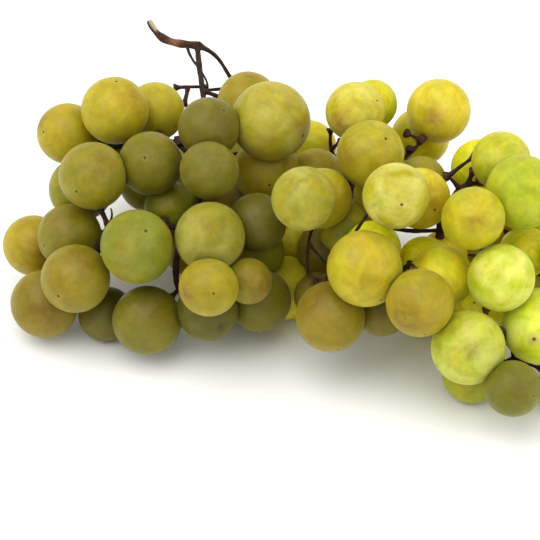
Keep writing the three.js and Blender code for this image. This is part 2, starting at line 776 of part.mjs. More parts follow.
// Matrix that turns +Y along a direction and moves to a point.
function poseAlong(point, direction) {
  const turn = new THREE.Quaternion().setFromUnitVectors(new THREE.Vector3(0, 1, 0), direction);
  return new THREE.Matrix4().compose(point, turn, new THREE.Vector3(1, 1, 1));
}

function ball(centre, radius, detail) {
  const pose = new THREE.Matrix4().makeTranslation(centre.x, centre.y, centre.z);
  return solidOf(new THREE.IcosahedronGeometry(radius, detail), pose);
}

// A cone or rod between two points.
function rod(start, end, startRadius, endRadius, sides) {
  const along = end.clone().sub(start);
  const middle = start.clone().add(end).divideScalar(2);
  const geometry = new THREE.CylinderGeometry(endRadius, startRadius, along.length(), sides);
  return solidOf(geometry, poseAlong(middle, along.normalize()));
}

function tube(points, radius) {
  const corners = [];
  for (let side = 0; side < LIMB_SIDES; side += 1) {
    const angle = side * 2 * Math.PI / LIMB_SIDES;
    corners.push(new THREE.Vector2(radius * Math.cos(angle), radius * Math.sin(angle)));
  }
  const extrudePath = new THREE.CatmullRomCurve3(points);
  const steps = Math.ceil(extrudePath.getLength() / TUBE_STEP);
  const settings = { steps, extrudePath, bevelEnabled: false };
  return solidOf(new THREE.ExtrudeGeometry(new THREE.Shape(corners), settings), new THREE.Matrix4());
}

// A limb, swollen all over by a margin.
function limbSolid(limb, margin) {
  const { points, radius } = limb;
  const last = points.length - 1;
  const parts = [tube(points, radius + margin)];
  if (margin > 0) {
    parts.push(ball(points[0], radius + margin, 0));
    parts.push(ball(points[last], radius + margin, 0));
  }
  if (limb.knot) parts.push(ball(points[0], limb.knot + margin, 0));
  if (limb.flare) {
    const direction = points[last].clone().sub(points[last - 1]).normalize();
    const end = points[last].clone().addScaledVector(direction, FLARE_LENGTH + margin);
    parts.push(rod(points[last], end, radius + margin, PEDICEL_FLARE_RADIUS + margin, PEDICEL_SIDES));
  }
  return joined(parts);
}

function pedicelSolid(pedicel, margin) {
  const along = pedicel.end.clone().sub(pedicel.root).normalize();
  const root = pedicel.root.clone().addScaledVector(along, -margin);
  const end = pedicel.end.clone().addScaledVector(along, margin);
  return rod(root, end, PEDICEL_ROOT_RADIUS + margin, PEDICEL_FLARE_RADIUS + margin, PEDICEL_SIDES);
}

// A block that fills the side of a plane that a direction points to.
function halfSpace(point, direction, size) {
  const centre = point.clone().addScaledVector(direction, size / 2);
  return solidOf(new THREE.BoxGeometry(size, size, size), poseAlong(centre, direction));
}

// A berry, cut flat where it presses on the surface or on a berry of another spray, and
// hollowed where a limb or another berry's pedicel passes.
function berrySolid(berry, berries, limbs, pedicels) {
  const reach = berry.radius * FACET_SWELL;
  const size = 3 * reach;
  let solid = ball(berry.centre, reach, 1);
  if (berry.centre.z < reach) {
    const under = berry.centre.clone().setZ(0);
    solid = solid.subtract(halfSpace(under, new THREE.Vector3(0, 0, -1), size));
  }
  for (const other of berries) {
    const otherReach = other.radius * FACET_SWELL;
    const distance = berry.centre.distanceTo(other.centre);
    if (other.spray === berry.spray || distance > reach + otherReach + CLEARANCE) continue;
    const direction = other.centre.clone().sub(berry.centre).normalize();
    const middle = (distance * distance + reach * reach - otherReach * otherReach) / (2 * distance);
    const point = berry.centre.clone().addScaledVector(direction, middle - CLEARANCE / 2);
    solid = solid.subtract(halfSpace(point, direction, size));
  }
  const room = reach + STEM_NEARBY;
  for (const limb of limbs) {
    if (limb.points.some((point) => point.distanceTo(berry.centre) < room)) {
      solid = solid.subtract(limb.clearing);
    }
  }
  for (const pedicel of pedicels) {
    if (distanceToLine(berry.centre, pedicel.root, pedicel.end) < room) {
      solid = solid.subtract(pedicel.clearing);
    }
  }
  return solid;
}

function namedMesh(name, solid, colour, roughness) {
  const geometry = geometryOf(solid);
  geometry.computeVertexNormals();
  const material = new THREE.MeshStandardMaterial({ color: colour, roughness, metalness: 0 });
  const mesh = new THREE.Mesh(geometry, material);
  mesh.name = name;
  return mesh;
}

// Middle of the bunch on the surface, from the berries and the peduncle's cut end.
function middleOf(berries) {
  const box = new THREE.Box3();
  for (const berry of berries) {
    const reach = berry.radius * FACET_SWELL;
    box.expandByPoint(berry.centre.clone().addScalar(reach));
    box.expandByPoint(berry.centre.clone().addScalar(-reach));
  }
  box.expandByPoint(place(...LIMBS[0].places[0]));
  return box.getCenter(new THREE.Vector3()).setZ(0);
}

function grapeBunch() {
  const stemPoints = LIMBS.flatMap(limbPoints);
  const berries = layBerries(stemPoints);
  const limbs = layLimbs(berries);
  const pedicels = layPedicels(berries, limbs);
  for (const limb of limbs) limb.clearing = limbSolid(limb, CLEARANCE);
  for (const pedicel of pedicels) pedicel.clearing = pedicelSolid(pedicel, CLEARANCE);

  const bunch = new THREE.Group();
  const stem = joined([
    ...limbs.map((limb) => limbSolid(limb, 0)),
    ...pedicels.map((pedicel) => pedicelSolid(pedicel, 0)),
  ]);
  bunch.add(namedMesh('stem', oneBody(stem), STEM_COLOUR, 0.8));
  for (const spray of Object.keys(SPRAYS)) {
    const members = berries.filter((berry) => berry.spray === spray);
    const solid = joined(members.map((berry) => berrySolid(berry, berries, limbs, pedicels)));
    const middle = members.reduce((sum, berry) => sum + berry.centre.x, 0) / members.length;
    bunch.add(namedMesh(spray, oneBody(solid), middle < 0 ? OLIVE_SKIN : LIME_SKIN, 0.45));
  }
  bunch.position.copy(middleOf(berries)).negate();
  return bunch;
}

export default grapeBunch();
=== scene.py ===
# Dresses a bunch of grapes: a piece of berries for each lateral, and the stem. Sizes in the
# layout are in millimetres, and everything that reaches Blender is in metres.
import functools
import math

import bpy
import numpy as np
from bpy.props import FloatProperty, FloatVectorProperty, IntProperty, PointerProperty
from mathutils import Matrix, Vector


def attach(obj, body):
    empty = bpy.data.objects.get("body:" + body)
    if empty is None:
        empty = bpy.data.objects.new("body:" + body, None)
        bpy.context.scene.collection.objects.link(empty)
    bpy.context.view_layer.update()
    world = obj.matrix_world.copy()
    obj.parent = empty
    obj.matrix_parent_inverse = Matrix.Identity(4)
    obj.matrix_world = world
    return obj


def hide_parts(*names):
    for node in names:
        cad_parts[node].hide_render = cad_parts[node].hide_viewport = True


bl_info = {
    "name": "Bunch of Grapes",
    "version": (1, 0, 0),
    "blender": (4, 5, 0),
    "location": "View3D > Sidebar > Grapes",
    "description": "Builds the berries and the stem of a bunch of grapes, and a stage",
    "category": "Add Mesh",
}

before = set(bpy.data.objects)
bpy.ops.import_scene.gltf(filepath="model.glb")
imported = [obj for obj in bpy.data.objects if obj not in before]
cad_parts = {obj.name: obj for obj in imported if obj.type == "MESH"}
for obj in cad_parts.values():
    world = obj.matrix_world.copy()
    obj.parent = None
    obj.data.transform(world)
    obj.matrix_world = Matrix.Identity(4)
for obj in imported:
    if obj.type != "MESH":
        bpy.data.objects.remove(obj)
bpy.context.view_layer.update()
METRES = 0.001

# ---- layout
# A place is [across, up, near]: across and up on the plane through VIEW_CENTRE that faces
# the eye, near as the distance from that plane towards the eye.
VIEW_TILT = math.radians(35)
EYE_DISTANCE = 550
VIEW_CENTRE = (0, 0, 20)
ACROSS = (1, 0, 0)
UPWARD = (0, math.sin(VIEW_TILT), math.cos(VIEW_TILT))
TOWARD = (0, -math.cos(VIEW_TILT), math.sin(VIEW_TILT))

# The two lobes of the bunch, as ellipsoids: centre and half lengths.
LOBES = (
    ((-37, 30, 24), (54, 52, 40)),
    ((58, 12, 26), (60, 62, 42)),
)
# Front berries: name, across, up, radius as it shows, layer, and the skin's ripeness from
# green to amber, darkness and bloom. The darkness is partly the berry's own tone and partly
# painted shade for berries that sit in shade; below zero it is painted light that brightens
# the skin. Then, on berries that show them, the blossom scar's place on the disc in radii,
# and the brown blush's strength, place on the disc and reach. Layer 0 touches the lobe's
# surface.
LAYER_STEP = 8
SUNK_PART = 0.9
FRONT_BERRIES = (
    ("A", -50.9, 52.3, 11, 0, (0.6, -0.4, 0.4), (0.1, 0.8), (0.7, 0.65, 0.35, 0.5)),
    ("B", -66.3, 44.7, 9.9, -1, (0.6, -0.3, 0.1), (-0.7, 0), (1.4, -0.8, 0.4, 0.3)),
    ("C", -37.6, 52, 9.7, -1, (0.45, -0.4, 0.4)),
    ("D", -58.1, 30.9, 11.1, 1, (0.45, 0.35, 0.3), (-0.4, -0.5), (0.6, 0.4, 0.3, 0.5)),
    ("E", -39.2, 35, 10.5, 1, (0.45, 0.6, 0.3), (-0.1, 0.1)),
    ("F", -20, 46.6, 10.1, -0.5, (0.45, 0.7, 0.2), (0.5, 0.5), (0.5, 0.5, 0.1, 0.6)),
    ("G", -19.9, 32.6, 9.6, 1, (0.35, 0.65, 0.3)),
    ("H", -7.2, 54.8, 10.2, 0, (0.7, 0, 0.4), None, (0.7, 0.1, 0.8, 0.5)),
    ("I", 0.2, 48.8, 12.9, 2.5, (0.5, -0.25, 0.6), (0.8, -0.4), (1.2, 0.8, -0.3, 0.35)),
    ("J", -77.5, 8, 10, -2, (0.8, -0.2, 0.1), None, (1, 0.35, -0.25, 0.4)),
    ("K", -65.8, 11.2, 10.5, -1, (0.45, 0.45, 0.2), (-0.7, -0.3), (0.5, -0.3, 0.5, 0.9)),
    ("L", -62, 26.6, 10.5, -2, (0.3, 0.2, 0.3)),
    ("M", -63.8, -2.8, 11.2, 1, (0.7, 0.4, 0.3), (-0.4, -0.5), (0.7, 0.3, 0.6, 0.6)),
    ("N", -73.9, -11.1, 11.1, 0, (1, 0.5, 0), None, (0.8, 0.25, -0.1, 0.7)),
    ("O", -43.6, 7.6, 12.3, 2, (0.15, 0.3, 0.4), (0.3, 0.4)),
    ("O2", -43.3, 7.5, 10.2, -0.5, (0.2, 0.4, 0.3)),
    ("P", -19.7, 10.8, 11.5, 1.5, (0.35, 0.25, 0.55)),
    ("Q", -20.1, -5.7, 9.8, 3, (0.6, 0, 0.3), (0.2, -0.2), (1.3, -0.7, -0.2, 0.4)),
    ("R", -7.2, -3.6, 7.7, 1, (0.75, 0.45, 0), (0.8, -0.4), (0.9, 0.6, -0.3, 0.7)),
    ("S", -40.3, -16.5, 11.3, 1, (0.4, 0.6, 0.2), None, (0.6, 0.1, 0.5, 0.7)),
    ("T", -53.8, -14.4, 9.1, -2, (0.8, 1, 0)),
    ("U", -20.5, -13.1, 10.2, 0, (0, 0.9, 0), (0.5, -0.6), (1.6, 0.45, -0.55, 0.2)),
    ("V", -3.4, -9.9, 10.4, 0.5, (0.4, 0.7, 0)),
    ("W", -4.3, 15.6, 9.8, -2, (0.4, 0.85, 0.2), (0.7, 0)),
    ("X", -9.8, 23, 9.2, -3, (0.6, 0.55, 0.1), None, (0.9, -0.1, 0.6, 0.7)),
    ("Y", -1.3, 32.8, 10.8, -1.5, (0.7, -0.25, 0), (0.1, -0.5)),
    ("Z", -32.8, 20.7, 8.5, -3, (0.15, 0.35, 0.1)),
    ("AA", -40, 28.5, 9.5, -3, (0.2, -0.15, 0.3)),
    ("a", 11, 23.4, 10.6, 1.5, (0.3, -0.2, 0.6)),
    ("b", 16.9, 23.5, 10, -0.5, (0.45, -0.3, 0.3), None, (0.8, 0.9, 0.2, 0.5)),
    ("d", 14.9, 30.5, 9.5, -3, (0.7, -0.2, 0)),
    ("e", 13.1, 40.4, 8.9, -1, (0.25, -1, 0.1)),
    ("f", 27.9, 52, 9.8, 1.5, (0.55, 0.15, 0.75), (0.7, 0.3), (1.2, -0.5, -0.5, 0.5)),
    ("g", 33.6, 54.3, 8.2, -0.5, (0.25, -0.2, 0.4)),
    ("h", 55.3, 52.2, 10.6, 0.5, (0.5, -0.8, 0.6), None, (1.4, -0.2, -0.3, 0.35)),
    ("i", 50, 44.8, 9.6, -4.5, (0.3, -1, 0.1)),
    ("j", 32.9, 37.9, 11.2, 0, (0.55, 0.4, 0.4), (0.4, 0.4), (0.9, -0.8, -0.1, 0.6)),
    ("k", 41.3, 24.3, 10.8, 1, (0.4, 0.35, 0.8), (0.1, -0.3)),
    ("l", 49.2, 23.5, 10, -1, (0.65, -0.15, 0.3), (0.4, -0.4), (0.6, 0.3, -0.2, 0.7)),
    ("m", 49.5, 29.2, 8.2, -2, (0.6, 0.65, 0.1)),
    ("n", 75.8, 35.8, 9.7, 0, (0.25, -0.05, 0.6)),
    ("o", 68.9, 33.5, 9.5, -1, (0.25, -0.4, 0.3)),
    ("p", 66.6, 16.9, 10.5, 0, (0.4, 0.25, 0.3), None, (0.9, 0, -0.15, 0.35)),
    ("q", 82.7, 25.5, 12.1, 1, (0.05, 0.1, 0.4)),
    ("r", 75.8, -2.6, 11.2, 0.5, (0.1, -0.25, 1), (0.4, 0.9)),
    ("s", 65, -25.4, 12.3, -0.5, (0.15, 0.2, 0.8), (-0.9, -0.5), (1.2, 0, 0, 0.3)),
    ("t", 88.6, -18.4, 12.5, 0.5, (0, -0.45, 0.9), (-0.3, -0.3), (1.6, -0.3, -0.3, 0.15)),
    ("u", 66.3, -34.1, 9.8, -2, (0.1, 0.45, 0.1)),
    ("v", 79.6, -38.9, 9.3, 2.5, (0.2, 0.9, 0.1), (0.6, -0.2)),
    ("w", 71.2, -9.8, 8.5, -3, (0.3, -0.75, 0.2), (-0.6, -0.1)),
    ("x", 31, 0.4, 12.5, 1, (0.65, 0.3, 0.4), (0.4, -0.8), (0.4, 0.1, -0.4, 0.5)),
    ("y", 33.5, 6.9, 9.3, -1.5, (0.25, -0.7, 0.3)),
    ("z", 19.8, -15.3, 11.6, 1, (0.9, 0.65, 0.1), (0.2, -0.9), (0.8, -0.5, 0.5, 0.8)),
    ("aa", 49.2, -10.8, 11.3, 0.5, (0.75, 0.5, 0.2), (0.1, -0.9), (0.9, -0.5, -0.5, 0.7)),
    ("bb", 36.7, -12.5, 9.2, -1, (1, 0.85, 0), None, (0.7, -0.3, 0.4, 0.8)),
    ("cc", 56.1, -2.3, 10.5, -1.5, (0.35, -0.4, 0.2), None, (0.8, -0.65, 0.6, 0.35)),
    ("dd", 50.5, 2.6, 8.5, -3, (0.4, -0.75, 0.2)),
    ("kk", 56.7, 4.9, 8, -5, (0.8, -0.75, 0)),
    ("W2", -4.6, 5.9, 9.2, -3, (0.4, 0.1, 0)),
    ("ee", 15.7, -8.5, 7.9, -2, (0.9, 0.7, 0), None, (0.9, 0.2, 0.5, 0.8)),
    ("ff", 4.9, -5.9, 10.5, -3, (0.4, -0.9, 0.2)),
    ("ffb", 7.5, 9.8, 7.9, -4, (0.3, -1, 0.1)),
    ("gg", 18, 6.6, 9.2, -3, (0.9, 0.65, 0)),
    ("hh", 24.6, 13.8, 8.9, -2.5, (0.2, -0.2, 0)),
    ("ii", 83.6, 5.9, 8.5, -2, (0.25, -0.5, 0.2)),
    ("jj", 90.2, 8.9, 8.5, -3, (0.2, 0, 0.3)),
    ("t1", 100, 3.9, 10.5, 0, (0.2, 0.05, 0.5)),
    ("t2", 97.4, 30.2, 9.5, -1, (0.3, 0, 0.4)),
    ("t3", 99.4, -37.4, 10.2, 0, (0.2, 0.1, 0.5)),
    ("t4", 105.6, -17.1, 10.5, -1.5, (0.3, 0.1, 0.4)),
    ("t5", 109.2, 15.7, 9.5, -1.5, (0.25, 0.05, 0.5)),
    ("t6", 107.6, -0.7, 9.2, -3, (0.3, 0.2, 0.3)),
    ("t7", 105, 23, 9.2, -3, (0.35, 0.1, 0.3)),
)

# Gaps between the front berries that the bunch leaves open: across, up, radius.
OPEN_GAPS = (
    (-49.9, 22, 4),
    (-52.8, -1, 1.5),
    (-31.8, -6.9, 1.7),
    (-31.2, 41.7, 1.5),
    (22, 42.3, 2.6),
    (44.3, 10.5, 2.6),
    (66.3, 5.6, 1.7),
    (59.7, 27.6, 4.6),
    (42.6, 51.8, 4.6),
    (63, 42.6, 5.2),
    (13.8, 57.4, 7.2),
)


def branch(radius, *places, knot=0, flared=False):
    """A limb of the stem, with a knot at its root, or a flare where it lost its berry."""
    return {"radius": radius, "places": places, "knot": knot, "flared": flared}


LIMBS = (
    # peduncle, from its cut end to the first fork
    branch(
        1.3, (-39.8, 81.7, -52), (-38.3, 78.4, -52), (-36.6, 76, -51.5), (-34.3, 74.5, -51),
        (-31, 74, -50), (-27.5, 74.1, -48), (-23.8, 73.6, -46),
    ),
    # rachis, over the back and through the middle of the right lobe
    branch(
        0.7, (-23.8, 73.6, -46), (-20.6, 72.9, -48), (-18.6, 71.7, -50), (-16.9, 69.7, -52),
        (-15.5, 67.8, -54), (-14.5, 65.8, -56), (-13.7, 63.6, -57), (-9.8, 58.4, -60), (0, 51, -60),
        (8, 44, -56), (17, 40, -44), (22, 36, -33), (27, 30, -24), (29, 25, -14), (36, 16, -5),
        (43.3, 13.4, 2), (47.6, 11.6, 5), (52, 12.8, 7), (56.4, 13.8, 8), (61.5, 12.5, 12),
        (68, 8, 14), (75.4, 2.6, 15), (88.5, -1.6, 5), (98, -4, 0), knot=1.9,
    ),
    branch(1.5, (28.2, 27.4, -15), (29, 24.6, -13), (30.4, 22.4, -11)),
    branch(0.6, (75.4, 2.6, 15), (70, 3.6, 17), (65, 5, 17)),
    # stalk of the left lobe
    branch(
        1, (-23.8, 73.6, -46), (-23.6, 69.5, -44), (-23.3, 65.5, -41), (-22.5, 61.7, -38),
        (-21.8, 58.5, -35), (-21.3, 52.5, -28), (-23, 44.3, -20), (-25.3, 36.1, -10),
        (-26.2, 26.2, -5), (-24.6, 21.3, 3), (-28.5, 13.8, 5), (-30.5, 6.6, 7), (-31.5, -0.7, 8),
        (-30.2, -6.6, 7),
    ),
    # loose twig beside the stalk
    branch(0.5, (-28.9, 73.6, -48), (-27.4, 70.5, -46), (-25.6, 68.3, -44), (-23.2, 66, -41)),
    # looped twigs and empty pedicels at the foot of the stalk
    branch(
        0.4, (-23, 64.6, -40.5), (-21.2, 63.2, -40), (-20.1, 61.7, -38.5), (-19.6, 60.1, -37),
        (-20.6, 58.4, -35.5),
    ),
    branch(
        0.6, (-22.4, 60.2, -36.6), (-25.7, 60, -35), (-27.6, 60.4, -34.5), (-29.2, 59.9, -34),
        flared=True,
    ),
    branch(0.7, (-25.7, 60, -35), (-26.6, 58.2, -34), (-27.7, 56, -33), flared=True),
    branch(
        0.6, (-21.8, 58.5, -35), (-19.4, 59.4, -36), (-17.2, 59.2, -37), (-15.9, 59.4, -37.5),
        flared=True,
    ),
    branch(
        0.8, (-21.8, 58.5, -35), (-17.4, 57.3, -34.5), (-15.1, 56.4, -34), (-12.5, 55.5, -33),
        flared=True,
    ),
    # upper lateral of the left lobe
    branch(
        1, (-25.3, 36.1, -10), (-27.3, 39.6, -11), (-29.2, 42.4, -11), (-32.6, 43, -12),
        (-39.4, 42.6, -12), (-49.2, 40.3, -9), (-56.4, 39.4, -10),
    ),
    branch(1.6, (-28.2, 41.4, -11), (-30.4, 44, -11)),
    branch(0.6, (-39.4, 42.6, -12), (-44.5, 38, -6), (-48.5, 32.5, -2)),
    # lower lateral of the left lobe
    branch(
        0.8, (-28.5, 13.8, 5), (-36.1, 12.4, 7), (-44.3, 17.1, 7), (-51.8, 17.7, 8),
        (-55.4, 12.5, 12), (-56.1, 7.5, 11), (-57.1, 2.6, 4), (-61, -4.9, -3),
    ),
    branch(0.8, (-53.2, 15.6, 10), (-54.2, 17.4, 10), (-55.1, 19, 9), flared=True),
    branch(0.4, (-53.2, 15.6, 10), (-50.9, 17, 10), (-50.8, 18.6, 10), (-52.2, 20.2, 9)),
    # lateral between the lobes
    branch(0.7, (-28.5, 13.8, 5), (-20, 4, 3), (-11, 0, 1), (-2, -3, 1)),
    # lateral down the back of the left lobe
    branch(0.8, (-23, 44.3, -20), (-26.3, 37.2, -35), (-29.5, 28, -47)),
    # empty pedicels over the shoulder
    branch(
        0.6, (22, 36, -33), (20.4, 37.4, -27), (19.2, 39.4, -25.5), (19.4, 41.8, -24.5),
        (19.8, 44, -24), flared=True,
    ),
    branch(0.6, (19.3, 40.4, -25), (21.8, 41, -24), flared=True),
    # lateral behind the top of the right lobe
    branch(0.7, (27, 30, -24), (29, 36, -14), (31, 41.5, -5)),
    # upper lateral of the right lobe
    branch(0.7, (29, 25, -14), (35.4, 29.5, -6), (41.5, 35.5, 0), (47.5, 38.6, -1), (49, 41.5, -3)),
    branch(0.5, (47.5, 38.6, -1), (47.8, 39.3, 1.5), (46.3, 39.4, 3.5), flared=True),
    branch(0.5, (49, 41.5, -3), (49, 43.4, -1), (48, 44, 1.5), (46.2, 44.2, 3), flared=True),
    # forked lateral on the right
    branch(
        0.9, (56.4, 13.8, 8), (58.4, 19.5, 12), (58.9, 24.7, 15), (61.3, 28.4, 17),
        (65.8, 29.3, 18), (69.2, 29.7, 18), (71, 30.6, 18),
    ),
    branch(0.7, (60.6, 27.6, 17), (59.4, 30.2, 17), (56.8, 30.5, 16)),
    branch(0.6, (59.4, 30.2, 17), (61, 33, 17), (63.4, 34.9, 17), (65.8, 36, 18), flared=True),
    branch(0.7, (65.8, 29.3, 18), (66.3, 31, 19), flared=True),
    branch(0.6, (54.2, 13, 7.5), (55.4, 14.6, 8.5), flared=True),
    # lateral to the front of the right lobe
    branch(0.6, (29, 25, -14), (21.3, 21.3, -2), (15.7, 15.7, 6)),
    branch(
        0.49, (15.7, 15.7, 6), (12.5, 11.8, 12), (12.6, 9.5, 13), (12, 5.1, 13), (12.1, -1.2, 12),
    ),
    branch(0.49, (12.6, 9.5, 13), (15, 6.2, 13), (18, 1.5, 14), (21.5, 0, 19)),
    branch(0.5, (21.5, 0, 19), (25, 3, 26)),
    branch(0.6, (15.7, 15.7, 6), (10, 15, 9), (6.5, 17.5, 20)),
    branch(0.5, (11.4, -1.3, 12), (15.7, -0.8, 13), (15.6, -3.6, 13)),
    # lateral to the bottom of the right lobe
    branch(0.8, (36, 16, -5), (36.5, 10, 0), (37, 4, 8), (40, -2, 20)),
    branch(0.6, (40, -2, 20), (43.4, -0.4, 26), (45.6, 0.6, 28), flared=True),
    # lateral to the back of the tip
    branch(0.8, (75.4, 2.6, 15), (78, 11.1, -2), (77.7, 14.7, -16), (75.7, 20.6, -31)),
    # lateral to the front of the tip
    branch(0.8, (75.4, 2.6, 15), (79.4, -9.8, 18), (79.7, -19.7, 20), (79.7, -28.9, 22)),
)

# The laterals that the berries belong to: the berry that hangs nearest to it, and its skin.
SPRAYS = {
    "berries_wing_tip": ("K", "olive_skin"),
    "berries_wing_back": ("C", "olive_skin"),
    "berries_wing_front": ("U", "olive_skin"),
    "berries_shoulder": ("a", "olive_skin"),
    "berries_middle": ("d", "olive_skin"),
    "berries_body_back": ("k", "lime_skin"),
    "berries_body_front": ("x", "lime_skin"),
    "berries_body_low": ("cc", "lime_skin"),
    "berries_tip_top": ("n", "lime_skin"),
    "berries_tip_front": ("t", "lime_skin"),
    "berries_tip_end": ("t5", "lime_skin"),
}

CLOSED_REACH = 12.5  # a point with berries this near on every side is closed in
TIP_START = 89  # past this line the tip is round on all sides
COVER_SIDES = 8
RIM_SIDES = 16
RIM_PARTS = (0.5, 0.97)
BACK_PASSES = 5
BACK_TRIES = 2500
BACK_RADIUS_MIN = 10.3
BACK_RADIUS_MAX = 11.5
BACK_FILL = 0.88
BACK_SINK = 5
BACK_SEED = 5
PRESS = 1.4
FLAT_DEPTH = 0.4
FACET_SWELL = 1.03
CLEARANCE = 0.3
RELAX_ROUNDS = 150
PASS_ROUNDS = 40
AIM_PULL = 0.01
LOBE_PULL = 0.004
FRONT_SHARE = 0.25  # of a lack of room in depth, made up by each of two front berries
FRONT_GIVE = 0.1  # of a press between a front and a back berry, taken by the front one
BACK_GIVE = 0.8  # and by the back one
SLIDE_STEP = 0.25
SLIDE_LIMIT = 18
SLIDE_PRESS = 2.6
TOUCH_PART = 0.7
STEM_ROOM = 0.6
USUAL_LIMB = 1  # radius of a usual limb
HIGHEST_PEDICEL = 56
BEARING_RADIUS = 0.5  # a thinner limb bears no berries, and an empty pedicel none either
TWIG_SPACING = 4
PEDICEL_ROOT_RADIUS = 0.7
PEDICEL_FLARE_RADIUS = 1.7
LONG_PEDICEL = 9
FORK_PARTS = (0.35, 0.6)
BEND_ROUNDS = 12
BEND_SMOOTHING = 0.15
ROOTS_TRIED = 16
BLOCK_COST = 4
STEM_END_TILT = math.radians(60)
DISC_DEPTH = 0.05  # the least square depth, in radii, of a place on a disc


class Berry:
    """A berry of the layout."""

    def __init__(self, name, front, centre, radius):
        self.name = name
        self.front = front
        self.centre = centre
        self.radius = radius
        self.tone = self.scar = self.blush = self.spray = self.first = None


def dot(one, other):
    return one[0] * other[0] + one[1] * other[1] + one[2] * other[2]


def minus(one, other):
    return [one[0] - other[0], one[1] - other[1], one[2] - other[2]]


def stepped(point, direction, distance):
    return [point[i] + direction[i] * distance for i in range(3)]


def length(vector):
    return math.sqrt(dot(vector, vector))


def unit(vector):
    size = 1 / length(vector)
    return [part * size for part in vector]


def cross(one, other):
    return [
        one[1] * other[2] - one[2] * other[1],
        one[2] * other[0] - one[0] * other[2],
        one[0] * other[1] - one[1] * other[0],
    ]


def apart(one, other):
    return length(minus(one, other))


def seen(across, up, near=0, start=(0, 0, 0)):
    """A vector, or a point by a vector from start, given as the eye sees it."""
    return stepped(stepped(stepped(start, ACROSS, across), UPWARD, up), TOWARD, near)


def place(across, up, near):
    """The point in space of [across, up, near]."""
    shrink = 1 - near / EYE_DISTANCE
    return seen(across * shrink, up * shrink, near, VIEW_CENTRE)


def view(point):
    """[across, up, near] of a point in space."""
    offset = minus(point, VIEW_CENTRE)
    near = dot(offset, TOWARD)
    shrink = 1 - near / EYE_DISTANCE
    return dot(offset, ACROSS) / shrink, dot(offset, UPWARD) / shrink, near


def surface_near(across, up):
    """How far towards the eye the lobes' surface lies on a sight line."""
    eye = place(0, 0, EYE_DISTANCE)
    sight = unit(minus(place(across, up, 0), eye))
    hits = []
    misses = []
    for centre, half in LOBES:
        start = [(eye[i] - centre[i]) / half[i] for i in range(3)]
        step = [sight[i] / half[i] for i in range(3)]
        square = dot(step, step)
        along = dot(start, step)
        root = along * along - square * (dot(start, start) - 1)
        distance = (-along - math.sqrt(max(root, 0))) / square
        near = dot(minus(stepped(eye, sight, distance), VIEW_CENTRE), TOWARD)
        (hits if root >= 0 else misses).append(near)
    return max(hits) if hits else max(misses)


def draws_from(seed):
    """Repeatable draws between 0 and 1."""
    state = seed
    while True:
        state = (state * 16807) % 2147483647
        yield state / 2147483647


def set_near(berry, near):
    """Puts a front berry on its sight line, no lower than the surface under it allows."""
    shrink = 1 - near / EYE_DISTANCE
    height = berry.disc * shrink - FLAT_DEPTH
    lowest = (height - VIEW_CENTRE[2] - berry.up * shrink * UPWARD[2]) / TOWARD[2]
    berry.near = max(near, lowest)
    berry.radius = berry.disc * (1 - berry.near / EYE_DISTANCE)
    berry.centre = place(berry.across, berry.up, berry.near)


def front_berry(row):
    name, across, up, disc, layer = row[:5]
    berry = Berry(name, True, None, disc)
    berry.across = across
    berry.up = up
    berry.disc = disc
    berry.tone, berry.scar, berry.blush = (*row[5:], None, None)[:3]
    berry.aim = surface_near(across, up) - SUNK_PART * disc + layer * LAYER_STEP
    set_near(berry, berry.aim)
    return berry


def lobe_part(point, lobe):
    centre, half = lobe
    return length([(point[i] - centre[i]) / half[i] for i in range(3)])


def nearest_lobe(point):
    return LOBES[0] if lobe_part(point, LOBES[0]) < lobe_part(point, LOBES[1]) else LOBES[1]


def gap(one, other):
    return apart(one.centre, other.centre) - one.radius - other.radius


class Cover:
    """The front berries' discs, for asking where a sight line meets them."""

    def __init__(self, front):
        self.front = front
        discs = [(berry.across, berry.up, berry.disc) for berry in front]
        self.across, self.up, self.disc = np.array(discs, float).T
        angles = np.arange(COVER_SIDES) * 2 * math.pi / COVER_SIDES
        self.cos = np.cos(angles)[:, None]
        self.sin = np.sin(angles)[:, None]

    def closes_in(self, across, up):
        """Whether a sight line meets berries, or passes between them with others all round."""
        if any(math.hypot(across - x, up - y) < radius for x, y, radius in OPEN_GAPS):
            return False
        x = self.across - across
        y = self.up - up
        square = x * x + y * y
        if np.any(np.sqrt(square) < self.disc):
            return True
        along = x * self.cos + y * self.sin
        chord = self.disc * self.disc - (square - along * along)
        reach = along - np.sqrt(np.maximum(chord, 0))
        meets = (along > 0) & (chord > 0) & (reach < CLOSED_REACH)
        return bool(meets.any(axis=1).all())

    def hides(self, berry):
        """Whether a berry lies behind the front berries and inside their outline."""
        across, up, near = view(berry.centre)
        disc = berry.radius / (1 - near / EYE_DISTANCE)
        for other in self.front:
            beside = math.hypot(across - other.across, up - other.up)
            if beside < disc + other.disc - PRESS and near > other.near:
                return False
        for side in range(RIM_SIDES):
            angle = side * 2 * math.pi / RIM_SIDES
            for part in RIM_PARTS:
                x = across + disc * part * math.cos(angle)
                y = up + disc * part * math.sin(angle)
                if x < TIP_START and not self.closes_in(x, y):
                    return False
        return True


def fill_back(cover, back, draws):
    """Adds berries at random places in the lobes where there is room behind the front ones."""
    for _ in range(BACK_TRIES):
        lobe = LOBES[math.floor(next(draws) * len(LOBES))]
        radius = BACK_RADIUS_MIN + (BACK_RADIUS_MAX - BACK_RADIUS_MIN) * next(draws)
        part = [2 * next(draws) - 1 for _ in range(3)]
        centre = [part[i] * lobe[1][i] + lobe[0][i] for i in range(3)]
        centre[2] = max(centre[2], radius - FLAT_DEPTH)
        if lobe_part(centre, lobe) > BACK_FILL:
            continue
        berry = Berry("back", False, centre, radius)
        if any(gap(berry, other) < -BACK_SINK for other in cover.front + back):
            continue
        if cover.hides(berry):
            back.append(berry)


